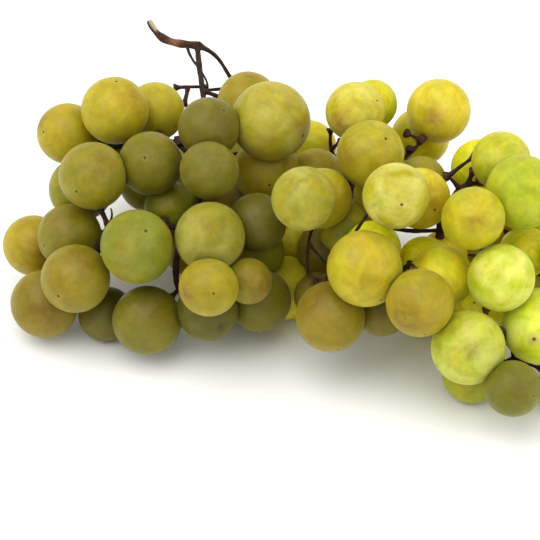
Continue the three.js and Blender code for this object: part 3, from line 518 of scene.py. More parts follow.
def press_apart(one, other):
    """Presses two berries apart: front ones along their sight lines, back ones anywhere."""
    near, far = one.centre, other.centre
    x = near[0] - far[0]
    y = near[1] - far[1]
    z = near[2] - far[2]
    wanted = one.radius + other.radius - PRESS
    square = x * x + y * y + z * z
    if square >= wanted * wanted:
        return
    distance = math.sqrt(square)
    if one.front and other.front:
        depth = one.near - other.near
        beside = max(distance * distance - depth * depth, 0)
        order = 1 if one.aim > other.aim else -1
        lack = math.sqrt(max(wanted * wanted - beside, 0)) - order * depth
        if lack > 0:
            one.near += order * lack * FRONT_SHARE
            other.near -= order * lack * FRONT_SHARE
        return
    size = (wanted - distance) / distance
    between = [x * size, y * size, z * size]
    if one.front:
        one.near += dot(between, TOWARD) * FRONT_GIVE
        other.centre = stepped(far, between, -BACK_GIVE)
    else:
        one.centre = stepped(near, between, 0.5)
        other.centre = stepped(far, between, -0.5)


def keep_off_stem(berry, stem_points):
    room = berry.radius + STEM_ROOM + USUAL_LIMB
    x, y, z = berry.centre
    for px, py, pz in stem_points:
        dx = x - px
        dy = y - py
        dz = z - pz
        square = dx * dx + dy * dy + dz * dz
        if square < room * room:
            distance = math.sqrt(square)
            size = (room - distance) / distance / 2
            x += dx * size
            y += dy * size
            z += dz * size
    berry.centre = [x, y, z]


def relax(berries, stem_points, rounds):
    """Lets the berries find their places."""
    for _ in range(rounds):
        for berry in berries:
            if berry.front:
                set_near(berry, berry.near + (berry.aim - berry.near) * AIM_PULL)
                continue
            pull = minus(nearest_lobe(berry.centre)[0], berry.centre)
            berry.centre = stepped(berry.centre, pull, LOBE_PULL)
            keep_off_stem(berry, stem_points)
            berry.centre[2] = max(berry.centre[2], berry.radius - FLAT_DEPTH)
        for i, one in enumerate(berries):
            for other in berries[i + 1:]:
                press_apart(one, other)
    for berry in berries:
        if berry.front:
            set_near(berry, berry.near)


def touches(one, other):
    return one is not other and gap(one, other) < -PRESS * TOUCH_PART


def slide_to_touch(berry, others, berries):
    """Moves a loose front berry along its sight line by the least that makes it touch."""
    start = berry.near
    slide = SLIDE_STEP
    while slide < SLIDE_LIMIT:
        for side in (-1, 1):
            set_near(berry, start + side * slide)
            fits = all(other is berry or gap(berry, other) > -SLIDE_PRESS for other in berries)
            if fits and any(touches(berry, other) for other in others):
                return True
        slide += SLIDE_STEP
    set_near(berry, start)
    return False


def move_to_touch(berry, others):
    """Moves a loose berry straight to its nearest neighbour."""
    nearest = min(others, key=lambda other: gap(berry, other))
    move = unit(minus(nearest.centre, berry.centre))
    berry.centre = stepped(berry.centre, move, gap(berry, nearest) + PRESS)


def join_one(loose, gathered):
    """Makes one of the loose berries touch the gathered ones: the closest that can."""
    loose.sort(key=lambda berry: min(gap(berry, other) for other in gathered))
    for berry in loose:
        if slide_to_touch(berry, gathered, loose + gathered):
            return
    move_to_touch(loose[0], gathered)


def gather_sprays(berries):
    """Gathers the berries round the first berry of each spray."""
    for spray, (name, _) in SPRAYS.items():
        first = next(berry for berry in berries if berry.name == name)
        first.spray = spray
        first.first = first
    while True:
        loose = [berry for berry in berries if not berry.spray]
        if not loose:
            return
        gathered = [berry for berry in berries if berry.spray]
        best = None
        for berry in loose:
            for other in gathered:
                if not touches(berry, other):
                    continue
                reach = apart(berry.centre, other.first.centre)
                if best is None or reach < best[0]:
                    best = (reach, berry, other)
        if best:
            best[1].spray = best[2].spray
            best[1].first = best[2].first
        else:
            join_one(loose, gathered)


def lay_berries(stem_points):
    """All berries in their places."""
    front = [front_berry(row) for row in FRONT_BERRIES]
    relax(front, stem_points, RELAX_ROUNDS)
    cover = Cover(front)
    draws = draws_from(BACK_SEED)
    back = []
    for _ in range(BACK_PASSES):
        fill_back(cover, back, draws)
        relax(front + back, stem_points, PASS_ROUNDS)
        back = [berry for berry in back if cover.hides(berry)]
    berries = front + back
    gather_sprays(berries)
    return berries


def part_way(start, end, part):
    """The point a part of the way from start to end."""
    return [start[i] + (end[i] - start[i]) * part for i in range(3)]


def limb_points(limb):
    """Points along a limb, about TWIG_SPACING apart."""
    places = [place(*at) for at in limb["places"]]
    points = [places[0]]
    for start, end in zip(places, places[1:]):
        parts = max(1, math.floor(apart(start, end) / TWIG_SPACING + 0.5))
        points += [part_way(start, end, part / parts) for part in range(1, parts + 1)]
    return points


def nearest_point(point, points):
    return min(points, key=lambda other: apart(point, other))


def bend_clear(points, radius, berries, laid):
    """Bends a limb clear of the berries, and starts it on a limb laid before it."""
    for _ in range(BEND_ROUNDS):
        for index, point in enumerate(points):
            for berry in berries:
                away = minus(point, berry.centre)
                room = berry.radius * FACET_SWELL + radius + CLEARANCE
                distance = length(away)
                if distance < room:
                    point = stepped(point, away, (room - distance) / distance / 2)
            points[index] = point
        for index in range(1, len(points) - 1):
            middle = [(points[index - 1][i] + points[index + 1][i]) / 2 for i in range(3)]
            points[index] = stepped(points[index], minus(middle, points[index]), BEND_SMOOTHING)
        if laid:
            points[0] = list(nearest_point(points[0], laid))


def lay_limbs(berries):
    laid = []
    limbs = []
    for limb in LIMBS:
        points = limb_points(limb)
        bend_clear(points, limb["radius"], berries, laid)
        laid += points
        limbs.append({**limb, "points": points})
    return limbs


def angle_between(one, other):
    cosine = dot(one, other) / (length(one) * length(other))
    return math.acos(max(-1, min(1, cosine)))


def turned(vector, axis, angle):
    """A vector turned about an axis at right angles to it."""
    side = cross(axis, vector)
    return [vector[i] * math.cos(angle) + side[i] * math.sin(angle) for i in range(3)]


def disc_direction(across, up):
    """The direction from a berry's centre to a place on its disc, given in radii."""
    return unit(seen(across, up, math.sqrt(max(DISC_DEPTH, 1 - across * across - up * up))))


def stem_end_direction(berry, root):
    """From a berry's centre to its stem end, given the root that its pedicel starts at."""
    to_root = unit(minus(root, berry.centre))
    if not berry.scar:
        return to_root
    stem_end = [-part for part in disc_direction(*berry.scar)]
    if angle_between(stem_end, to_root) <= STEM_END_TILT:
        return stem_end
    return turned(to_root, unit(cross(to_root, stem_end)), STEM_END_TILT)


def distance_to_line(point, start, end):
    line = minus(end, start)
    part = dot(minus(point, start), line) / dot(line, line)
    return apart(point, stepped(start, line, max(0, min(1, part))))


def blocked_depth(berry, root, end, berries):
    """How deep a line from a root to a berry runs into the other berries."""
    depth = 0
    for other in berries:
        if other is berry:
            continue
        room = other.radius * FACET_SWELL + PEDICEL_ROOT_RADIUS + CLEARANCE
        depth += max(0, room - distance_to_line(other.centre, root, end))
    return depth


def pedicel_of(berry, roots, berries):
    """The pedicel to a berry: of the nearest roots, from the one that lets it run clearest."""
    best = None
    near = sorted(roots, key=lambda root: apart(root[0], berry.centre))
    for root, radius in near[:ROOTS_TRIED]:
        direction = stem_end_direction(berry, root)
        lean = angle_between(direction, minus(root, berry.centre))
        swell = PEDICEL_FLARE_RADIUS * math.sin(lean)
        height = berry.radius * FACET_SWELL + CLEARANCE + swell
        end = stepped(berry.centre, direction, height)
        cost = apart(root, end) + BLOCK_COST * blocked_depth(berry, root, end, berries)
        if best is None or cost < best["cost"]:
            best = {
                "berry": berry, "root": root, "end": end, "cost": cost,
                "direction": direction, "root_radius": radius,
            }
    return best


def lay_pedicels(berries, limbs):
    """A pedicel for every berry, the nearest first. A long one carries others in its turn."""
    roots = []
    for limb in limbs:
        if limb["flared"] or limb["radius"] < BEARING_RADIUS:
            continue
        for point in limb["points"]:
            if view(point)[1] < HIGHEST_PEDICEL:
                roots.append((point, limb["radius"]))
    waiting = list(berries)
    pedicels = []
    while waiting:
        waiting.sort(key=lambda one: min(apart(one.centre, root[0]) for root in roots))
        pedicel = pedicel_of(waiting.pop(0), roots, berries)
        pedicels.append(pedicel)
        root, end = pedicel["root"], pedicel["end"]
        if apart(root, end) > LONG_PEDICEL:
            for part in FORK_PARTS:
                roots.append((part_way(root, end, part), PEDICEL_ROOT_RADIUS))
    return pedicels


def middle_of(berries):
    """Middle of the bunch on the surface, from the berries and the peduncle's cut end."""
    corners = [place(*LIMBS[0]["places"][0])]
    for berry in berries:
        reach = berry.radius * FACET_SWELL
        corners.append([part + reach for part in berry.centre])
        corners.append([part - reach for part in berry.centre])
    corners = np.array(corners)
    middle = (corners.min(axis=0) + corners.max(axis=0)) / 2
    return [middle[0], middle[1], 0]


@functools.cache
def bunch():
    """The layout, made once."""
    stem_points = [point for limb in LIMBS for point in limb_points(limb)]
    berries = lay_berries(stem_points)
    limbs = lay_limbs(berries)
    return {
        "berries": berries,
        "limbs": limbs,
        "pedicels": lay_pedicels(berries, limbs),
        "middle": middle_of(berries),
    }


# ---- looks
LOOKS_SEED = 7


def linear(code):
    """An sRGB colour code such as a8a030 as linear values."""
    parts = [int(code[i:i + 2], 16) / 255 for i in (0, 2, 4)]
    return tuple(p / 12.92 if p <= 0.04045 else ((p + 0.055) / 1.055) ** 2.4 for p in parts)


def tint(name, code, description):
    """A colour setting."""
    return FloatVectorProperty(
        name=name, description=description, default=linear(code), size=3, subtype="COLOR",
        min=0, max=1,
    )


def number(name, default, description, low=0, kind=FloatProperty, **options):
    """A number setting, no lower than low."""
    return kind(name=name, description=description, default=default, min=low, **options)


class GrapeSkinSettings(bpy.types.PropertyGroup):
    """Colours and finish of the berries' skin."""

    # The wing's skin is olive and the body's lime; the body's is lighter, partly its own colour,
    # partly painted light.
    wing_green: tint("Wing green", "7f8710", "Unripe skin on the wing")
    wing_yellow: tint("Wing yellow", "988c10", "Ripe skin on the wing")
    wing_amber: tint("Wing amber", "a28c14", "Overripe skin on the wing")
    body_green: tint("Body green", "acb816", "Unripe skin on the body")
    body_yellow: tint("Body yellow", "c4b814", "Ripe skin on the body")
    body_amber: tint("Body amber", "c6ac1c", "Overripe skin on the body")
    # The colour that painted shade mixes a berry's skin towards; the flesh clouds mix a little of
    # it in too.
    shade: tint("Shade", "4a4608", "Skin of the darkest berries")
    blush: tint("Blush", "cba05c", "Tint of the brown blush")
    bloom: tint("Bloom", "eaea9e", "Waxy bloom on the skin")
    scar: tint("Scar", "3a2412", "Blossom scar and specks")
    roughness: number("Roughness", 0.38, "Roughness of the skin", max=1, subtype="FACTOR")
    depth: number("Depth", 0.012, "How far light travels in the flesh", unit="LENGTH")


class GrapeBerrySettings(bpy.types.PropertyGroup):
    """Shape of the berries."""

    segments: number("Segments", 48, "Faces round a berry", 8, IntProperty, max=96)
    rings: number("Rings", 32, "Faces from scar to stem end", 6, IntProperty, max=64)
    unevenness: number("Unevenness", 0.012, "How far a berry departs from a ball", max=0.1)
    dimple: number("Dimple", 0.0005, "Depth of the hollow at the stem end", unit="LENGTH")


class GrapeStemSettings(bpy.types.PropertyGroup):
    """Shape and colours of the stem."""

    dark: tint("Dark bark", "170b05", "Dry bark of the twigs")
    brown: tint("Brown bark", "3a1b0d", "Bark of the limbs")
    # Tan of the fibres and of the paler patch partway along the peduncle.
    tan: tint("Tan bark", "9a6842", "Worn patches on the peduncle")
    wood: tint("Cut wood", "b8a688", "Wood at the peduncle's cut end")
    sides: number("Sides", 12, "Faces round a limb", 5, IntProperty, max=32)
    ring_step: number(
        "Ring step", 0.0009, "Distance between a limb's rings", 0.0003, unit="LENGTH"
    )
    bark_depth: number("Bark depth", 0.0003, "Depth of the fibres in the bark", unit="LENGTH")


class GrapeStageSettings(bpy.types.PropertyGroup):
    """Floor, light and camera."""

    floor: tint("Floor", "f4f4f2", "Colour of the floor")
    key: number("Key light", 8.5, "Power of the large soft light", unit="POWER")
    fill: number("Fill light", 3, "Power of the light on the other side", unit="POWER")
    sky: number("Sky", 0.9, "Strength of the even light all round")
    lens: number("Focal length", 111.8, "Focal length of the camera", 1, unit="CAMERA")


# ---- node helpers
class Graph:
    """Adds nodes to a node tree."""

    def __init__(self, tree):
        self.tree = tree
        self.count = 0

    def add(self, kind, inputs=None, **settings):
        made = self.tree.nodes.new(kind)
        made.location = (220 * (self.count % 12), -260 * (self.count // 12))
        self.count += 1
        for key, value in settings.items():
            setattr(made, key, value)
        for key, value in (inputs or {}).items():
            self.put(made.inputs[key], value)
        return made

    def put(self, socket, value):
        if isinstance(value, bpy.types.NodeSocket):
            self.tree.links.new(value, socket)
        elif value is not None:
            if socket.type == "RGBA" and len(value) == 3:
                value = (*value, 1)
            socket.default_value = value

    def math(self, operation, one, other=None, third=None, clamp=False):
        made = self.add("ShaderNodeMath", operation=operation, use_clamp=clamp)
        for socket, value in zip(made.inputs, (one, other, third)):
            self.put(socket, value)
        return made.outputs[0]

    def times(self, one, other):
        return self.math("MULTIPLY", one, other)

    def vector_math(self, operation, one, other=None):
        made = self.add("ShaderNodeVectorMath", {0: one, 1: other}, operation=operation)
        return made.outputs["Value" if operation == "LENGTH" else "Vector"]

    def mix(self, factor, one, other, blend="MIX"):
        made = self.add("ShaderNodeMix", data_type="RGBA", blend_type=blend)
        sockets = {socket.identifier: socket for socket in (*made.inputs, *made.outputs)}
        for key, value in (("Factor_Float", factor), ("A_Color", one), ("B_Color", other)):
            self.put(sockets[key], value)
        return sockets["Result_Color"]

    def noise(self, vector, scale, detail, roughness, distortion=0.0):
        values = (vector, scale, detail, roughness, distortion)
        names = ("Vector", "Scale", "Detail", "Roughness", "Distortion")
        return self.add("ShaderNodeTexNoise", dict(zip(names, values))).outputs["Fac"]

    def between(self, value, low, high, to_low=0.0, to_high=1.0):
        """A smooth step of a value from low to high."""
        names = ("Value", "From Min", "From Max", "To Min", "To Max")
        inputs = dict(zip(names, (value, low, high, to_low, to_high)))
        return self.add("ShaderNodeMapRange", inputs, interpolation_type="SMOOTHSTEP").outputs[0]

    def split(self, colour):
        return self.add("ShaderNodeSeparateColor", {"Color": colour}).outputs

    def attribute(self, name, output="Color"):
        return self.add("ShaderNodeAttribute", attribute_name=name).outputs[output]

    def bump(self, strength, distance, height):
        inputs = {"Strength": strength, "Distance": distance, "Height": height}
        return self.add("ShaderNodeBump", inputs).outputs["Normal"]

    def surface(self, inputs):
        """The material's shader, and its output."""
        shader = self.add("ShaderNodeBsdfPrincipled", inputs)
        self.add("ShaderNodeOutputMaterial", {"Surface": shader.outputs[0]})


def new_material(name):
    """A material, and the graph of its nodes."""
    material = bpy.data.materials.new(name)
    material.use_nodes = True
    material.node_tree.nodes.clear()
    return material, Graph(material.node_tree)


def new_group(name, inputs, outputs):
    """An empty shader node group: its graph, its input sockets and its output node."""
    tree = bpy.data.node_groups.new(name, "ShaderNodeTree")
    for label, kind in inputs:
        tree.interface.new_socket(label, in_out="INPUT", socket_type=kind)
    for label, kind in outputs:
        tree.interface.new_socket(label, in_out="OUTPUT", socket_type=kind)
    graph = Graph(tree)
    given = graph.add("NodeGroupInput").outputs
    result = graph.add("NodeGroupOutput")
    return graph, given, result


# Painted light: what the palest skin is multiplied by, to brighten berries that sit in shade.
PAINTED_LIGHT_GAIN = (2.1, 2.05, 1.7)
RIPENESS = ("Green", "Yellow", "Amber")
OVERLAYS = ("Shade", "Blush", "Bloom", "Scar")


def grape_skin_group():
    """Pattern of a berry's skin: its colour, with painted shade and painted light, its roughness
    and height.
    """
    name = "Grape skin"
    if name in bpy.data.node_groups:
        return bpy.data.node_groups[name]
    graph, given, result = new_group(
        name,
        [("Own", "NodeSocketVector"), ("Origin", "NodeSocketVector"),
         ("Tone", "NodeSocketColor"), ("Mark", "NodeSocketColor")]
        + [(label, "NodeSocketColor") for label in RIPENESS + OVERLAYS]
        + [("Roughness", "NodeSocketFloat")],
        [("Color", "NodeSocketColor"), ("Roughness", "NodeSocketFloat"),
         ("Height", "NodeSocketFloat")],
    )
    own = given["Own"]
    tone = graph.split(given["Tone"])
    mark = graph.split(given["Mark"])
    ripe, shade, bloom = tone["Red"], tone["Green"], tone["Blue"]
    blush, scar = mark["Red"], mark["Green"]
    spot = graph.vector_math("ADD", own, given["Origin"])
    long = graph.vector_math("MULTIPLY", own, (1, 1, 0.22))
    streak = graph.vector_math("ADD", long, given["Origin"])

    # ripeness drifts over the skin
    drift = graph.noise(spot, 1.2, 3, 0.55, 0.4)
    ripeness = graph.math("ADD", ripe, graph.math("MULTIPLY_ADD", drift, 1.1, -0.5), clamp=True)
    colour = graph.mix(graph.between(ripeness, 0.0, 0.5), given["Green"], given["Yellow"])
    colour = graph.mix(graph.between(ripeness, 0.5, 1.0), colour, given["Amber"])

    # flesh shows through in soft clouds and faint meridians
    cloud = graph.noise(spot, 2.6, 4, 0.58, 0.6)
    meridian = graph.noise(streak, 4.5, 3, 0.6, 0.4)
    lights = graph.math("ADD", cloud, graph.times(meridian, 0.5))
    colour = graph.mix(graph.between(lights, 0.5, 1.0, 0.32, 0.0), colour, given["Shade"])
    # painted shade and light: a darker berry's skin is mixed towards the shade colour, a paler
    # one's multiplied brighter
    colour = graph.mix(graph.between(shade, 0.5, 1.0, 0.0, 0.85), colour, given["Shade"])
    colour = graph.mix(graph.between(shade, 0.0, 0.5, 1.0, 0.0), colour, PAINTED_LIGHT_GAIN, "MULTIPLY")

    # brown blush
    brown = graph.noise(spot, 4.2, 5, 0.65, 0.5)
    brown = graph.times(blush, graph.between(brown, 0.25, 0.75, 0.35, 1.0))
    colour = graph.mix(brown, colour, given["Blush"], "MULTIPLY")

    # waxy bloom in patches, wiped off in places
    patch = graph.noise(spot, 1.3, 4, 0.55, 0.6)
    wisp = graph.noise(streak, 9.0, 4, 0.6, 1.5)
    patch = graph.between(graph.math("MULTIPLY_ADD", wisp, 0.2, patch), 0.4, 0.85)
    film = graph.times(patch, graph.between(bloom, 0.3, 1.0, 0.04, 0.42))
    colour = graph.mix(film, colour, given["Bloom"])

    # pale pinprick pores
    pits = graph.add("ShaderNodeTexVoronoi", {"Vector": spot, "Scale": 13.0})
    pit = graph.between(pits.outputs["Distance"], 0.05, 0.16, 0.12, 0.0)
    colour = graph.mix(pit, colour, given["Bloom"])

    # small specks
    cells = graph.add("ShaderNodeTexVoronoi", {"Vector": spot, "Scale": 7.0})
    lucky = graph.split(cells.outputs["Color"])["Red"]
    speck = graph.between(cells.outputs["Distance"], 0.03, 0.075, 1.0, 0.0)
    speck = graph.times(speck, graph.between(lucky, 0.62, 0.7))
    colour = graph.mix(graph.times(speck, 0.45), colour, given["Scar"])

    # blossom scar at the pole, with a pale ring
    parts = graph.add("ShaderNodeSeparateXYZ", {"Vector": own}).outputs
    level = graph.add("ShaderNodeCombineXYZ", {"X": parts["X"], "Y": parts["Y"]}).outputs[0]
    reach = graph.vector_math("LENGTH", level)
    reach = graph.math("ADD", reach, graph.between(parts["Z"], -0.2, 0.2, 2.0, 0.0))
    ring = graph.between(reach, 0.05, 0.15, 1.0, 0.0)
    colour = graph.mix(graph.times(graph.times(ring, 0.05), scar), colour, given["Bloom"])
    point = graph.between(reach, 0.025, 0.065, 0.9, 0.0)
    colour = graph.mix(graph.times(point, scar), colour, given["Scar"])

    # height of pores, lumps and the scar
    pores = graph.noise(spot, 46.0, 2, 0.5)
    lumps = graph.noise(spot, 3.4, 3, 0.5)
    height = graph.math("MULTIPLY_ADD", pores, 0.06, lumps)
    height = graph.math("SUBTRACT", height, graph.times(point, scar))
    rough = graph.math("MULTIPLY_ADD", film, 0.3, given["Roughness"])
    rough = graph.math("MULTIPLY_ADD", pores, 0.06, rough, clamp=True)
    for socket, value in zip(result.inputs, (colour, rough, height)):
        graph.put(socket, value)
    return graph.tree


def skin_material(name, lobe):
    """A grape skin over translucent flesh, in the colours of a lobe, the body's lighter partly as
    painted light.
    """
    settings = bpy.context.scene.grape_skin
    material, graph = new_material(name)
    looks = {
        "Own": graph.attribute("own", "Vector"),
        "Origin": graph.attribute("origin", "Vector"),
        "Tone": graph.attribute("tone"),
        "Mark": graph.attribute("mark"),
        "Roughness": settings.roughness,
    }
    looks.update((label, getattr(settings, f"{lobe}_{label.lower()}")) for label in RIPENESS)
    looks.update((label, getattr(settings, label.lower())) for label in OVERLAYS)
    skin = graph.add("ShaderNodeGroup", node_tree=grape_skin_group())
    for label, value in looks.items():
        graph.put(skin.inputs[label], value)
    graph.surface({
        "Base Color": skin.outputs["Color"],
        "Roughness": skin.outputs["Roughness"],
        "Normal": graph.bump(0.35, 0.0006, skin.outputs["Height"]),
        "IOR": 1.38,
        "Specular IOR Level": 0.34,
        "Subsurface Weight": 1.0,
        "Subsurface Radius": (1.0, 0.8, 0.2),
        "Subsurface Scale": settings.depth,
        "Sheen Weight": 0.07,
        "Sheen Roughness": 0.35,
        "Sheen Tint": (0.95, 0.92, 0.55),
    })
    return material


def stem_material():
    """Dry bark with fibres along the limbs, and pale wood at the cut."""
    settings = bpy.context.scene.grape_stem
    material, graph = new_material("stem_bark")
    fibre = graph.attribute("own", "Vector")
    mark = graph.split(graph.attribute("mark"))
    cut, tan_patch, thick = mark["Red"], mark["Green"], mark["Blue"]
    threads = graph.noise(graph.vector_math("MULTIPLY", fibre, (1, 1, 0.16)), 2.4, 5, 0.65, 0.4)
    patches = graph.noise(fibre, 0.22, 4, 0.6, 0.3)
    colour = graph.mix(graph.between(patches, 0.38, 0.68), settings.dark, settings.brown)
    colour = graph.mix(graph.between(thick, 0.0, 1.0, 0.0, 0.35), colour, settings.brown)
    colour = graph.mix(graph.between(threads, 0.5, 0.75, 0.0, 0.4), colour, settings.tan)
    # a paler tan patch partway along the peduncle, broken up by the fibres
    patchy_tan = graph.times(tan_patch, graph.between(threads, 0.35, 0.6, 0.4, 1.0))
    colour = graph.mix(patchy_tan, colour, settings.tan)
    rings = graph.noise(graph.vector_math("MULTIPLY", fibre, (1, 1, 3.0)), 1.1, 3, 0.5)
    height = graph.math("MULTIPLY_ADD", rings, 0.5, threads)
    graph.surface({
        "Base Color": graph.mix(cut, colour, settings.wood),
        "Roughness": graph.between(threads, 0.3, 0.8, 0.62, 0.85),
        "Normal": graph.bump(0.8, settings.bark_depth, height),
        "Specular IOR Level": 0.3,
    })
    return material


# ---- pieces
def new_object(name, data):
    """An object in the scene."""
    made = bpy.data.objects.new(name, data)
    bpy.context.scene.collection.objects.link(made)
    return made


# Kind and field of an attribute, by how many numbers each point has.
KINDS = {3: ("FLOAT_VECTOR", "vector"), 4: ("FLOAT_COLOR", "color")}


def new_piece(name, points, faces, material, attributes):
    """A smooth mesh object, with vectors and colours for each point."""
    mesh = bpy.data.meshes.new(name)
    mesh.from_pydata(points, [], faces)
    for label, values in attributes.items():
        values = np.ascontiguousarray(values, np.float32)
        kind, key = KINDS[values.shape[1]]
        layer = mesh.attributes.new(label, kind, "POINT")
        layer.data.foreach_set(key, values.ravel())
    mesh.materials.append(material)
    mesh.shade_smooth()
    mesh.validate()
    mesh.update()
    piece = new_object(name, mesh)
    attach(piece, "root")
    return piece


def in_frame(points):
    """Layout points in the part's frame, in metres."""
    return (np.asarray(points, float) - np.array(bunch()["middle"])) * METRES


def unit_ball(segments, rings):
    """Points and faces of a ball with its first pole at +Z."""
    turns = [2 * math.pi * segment / segments for segment in range(segments)]
    points = [(0, 0, 1)]
    for polar in (math.pi * ring / rings for ring in range(1, rings)):
        flat = math.sin(polar)
        height = math.cos(polar)
        points += [(flat * math.cos(turn), flat * math.sin(turn), height) for turn in turns]
    points.append((0, 0, -1))
    last = len(points) - 1
    faces = []
    for segment in range(segments):
        after = (segment + 1) % segments
        faces.append((0, 1 + segment, 1 + after))
        for upper in range(1, last - segments, segments):
            lower = upper + segments
            faces.append((upper + segment, lower + segment, lower + after, upper + after))
        faces.append((last - segments + segment, last, last - segments + after))
    return np.array(points), faces


def turn_to(pole, spin):
    """Rotation that takes +Z to a pole, spun about it."""
    turn = Vector(pole).to_track_quat("Z", "Y").to_matrix()
    return np.array(turn @ Matrix.Rotation(spin, 3, "Z"))


def flattened(points, centre, direction, reach, softness):
    """Points pressed softly to stay short of a plane at reach along a direction."""
    height = (points - centre) @ direction
    over = softness * np.logaddexp(0, (height - reach) / softness)
    return points - np.outer(over, direction)


CONTACT_GAP = 0.03
CONTACT_SOFTNESS = 0.12
FLOOR_SOFTNESS = 0.05
DIMPLE_START = 0.93  # where on the ball, in radii, the hollow at the stem end starts


def berry_points(berry, pole, spin, wobble, ball, settings):
    """A berry's skin in the layout, pressed flat by its neighbours and the surface."""
    turn = turn_to(pole, spin)
    uneven = settings.unevenness
    lengths = 1 + uneven * np.array([wobble[0], wobble[1], wobble[2] + 0.3])
    shape = ball * lengths
    lumps = np.sin(2.3 * ball[:, 0] + wobble[3]) * np.sin(1.9 * ball[:, 1] + wobble[4])
    shape *= (1 + 0.35 * uneven * lumps)[:, None]
    # the skin draws in round the pedicel
    below = np.clip((-ball[:, 2] - DIMPLE_START) / (1 - DIMPLE_START), 0, 1)
    shape[:, 2] += settings.dimple / METRES / berry.radius * below ** 2
    centre = np.array(berry.centre)
    points = centre + (shape * berry.radius) @ turn.T
    for other in bunch()["berries"]:
        distance = apart(berry.centre, other.centre)
        if other is berry or distance > berry.radius + other.radius + 1:
            continue
        direction = np.array(minus(other.centre, berry.centre)) / distance
        middle = (distance ** 2 + berry.radius ** 2 - other.radius ** 2) / (2 * distance)
        points = flattened(points, centre, direction, middle - CONTACT_GAP, CONTACT_SOFTNESS)
    down = np.array([0.0, 0.0, -1.0])
    points = flattened(points, centre, down, berry.centre[2], FLOOR_SOFTNESS)
    points[:, 2] = np.maximum(points[:, 2], 0)
    return points


# Ranges of the hidden berries' ripeness, darkness and bloom.
BACK_TONES = ((0.15, 0.75), (-0.3, 0.3), (0.2, 0.7))


def berry_looks(berry, points, rng):
    """The tones, marks and origins of a berry's points."""
    ripe, shade, bloom = berry.tone or [rng.uniform(*part) for part in BACK_TONES]
    if berry.blush:
        strength, across, up, reach = berry.blush
        direction = np.array(disc_direction(across, up))
    else:
        strength = rng.uniform(0.0, 0.5) ** 2 * 2
        reach = rng.uniform(0.4, 0.9)
        direction = rng.normal(size=3)
        direction /= np.linalg.norm(direction)
        if berry.front:
            strength = 0
    out = points - np.array(berry.centre)
    out /= np.linalg.norm(out, axis=1)[:, None]
    angle = np.arccos(np.clip(out @ direction, -1, 1))
    # the tone's middle channel holds the darkness: painted shade above its middle, painted light
    # below it
    tones = np.tile((ripe, 0.5 + shade / 2, bloom, 1.0), (len(points), 1))
    scarred = 1.0 if berry.scar or not berry.front else 0.0
    marks = np.tile((0.0, scarred, 0.0, 1.0), (len(points), 1))
    marks[:, 0] = strength * np.exp(-((angle / reach) ** 2) * 1.5)
    origins = np.tile(rng.uniform(-20, 20, 3), (len(points), 1))
    return tones, marks, origins


def spray_of_berries(spray, material):
    """The berries of one lateral, as one piece."""
    settings = bpy.context.scene.grape_berries
    ball, faces = unit_ball(settings.segments, settings.rings)
    stem_ends = {id(one["berry"]): one["direction"] for one in bunch()["pedicels"]}
    points, shapes = [], []
    attributes = {"own": [], "origin": [], "tone": [], "mark": []}
    for index, berry in enumerate(bunch()["berries"]):
        rng = np.random.default_rng(LOOKS_SEED * 1000 + index)
        spin = rng.uniform(0, 2 * math.pi)
        wobble = rng.normal(size=5)
        if berry.spray != spray:
            continue
        if berry.scar:
            pole = disc_direction(*berry.scar)
        else:
            pole = [-part for part in stem_ends[id(berry)]]
        made = berry_points(berry, pole, spin, wobble, ball, settings)
        tone, mark, origin = berry_looks(berry, made, rng)
        first = len(points) * len(ball)
        shapes += [tuple(first + corner for corner in face) for face in faces]
        points.append(made)
        for label, values in zip(attributes, (ball, origin, tone, mark)):
            attributes[label].append(values)
    piece = new_piece(
        spray.replace("berries", "grapes"), in_frame(np.vstack(points)), shapes, material,
        {label: np.vstack(values) for label, values in attributes.items()},
    )
    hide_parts(spray)


def catmull_rom(points, step):
    """Points along a smooth line through given ones, about a step apart."""
    points = np.asarray(points, float)
    ends = np.vstack([2 * points[0] - points[1], points, 2 * points[-1] - points[-2]])
    line = []
    for i in range(1, len(ends) - 2):
        a, b, c, d = ends[i - 1], ends[i], ends[i + 1], ends[i + 2]
        parts = max(1, int(round(np.linalg.norm(c - b) / step)))
        for k in range(parts):
            t = k / parts
            line.append(
                b + 0.5 * t * (c - a + t * (2 * a - 5 * b + 4 * c - d + t * (3 * (b - c) + d - a)))
            )
    line.append(ends[-2])
    return np.array(line)


SIDE_HINT = (0.3, 0.2, 1.0)  # no limb starts along it
RIDGE = 0.07
OWN_SPREAD = 40  # how far apart the tubes' bark patterns lie


def distances_along(line):
    """How far along a line each of its points lies."""
    return np.concatenate([[0], np.cumsum(np.linalg.norm(np.diff(line, axis=0), axis=1))])


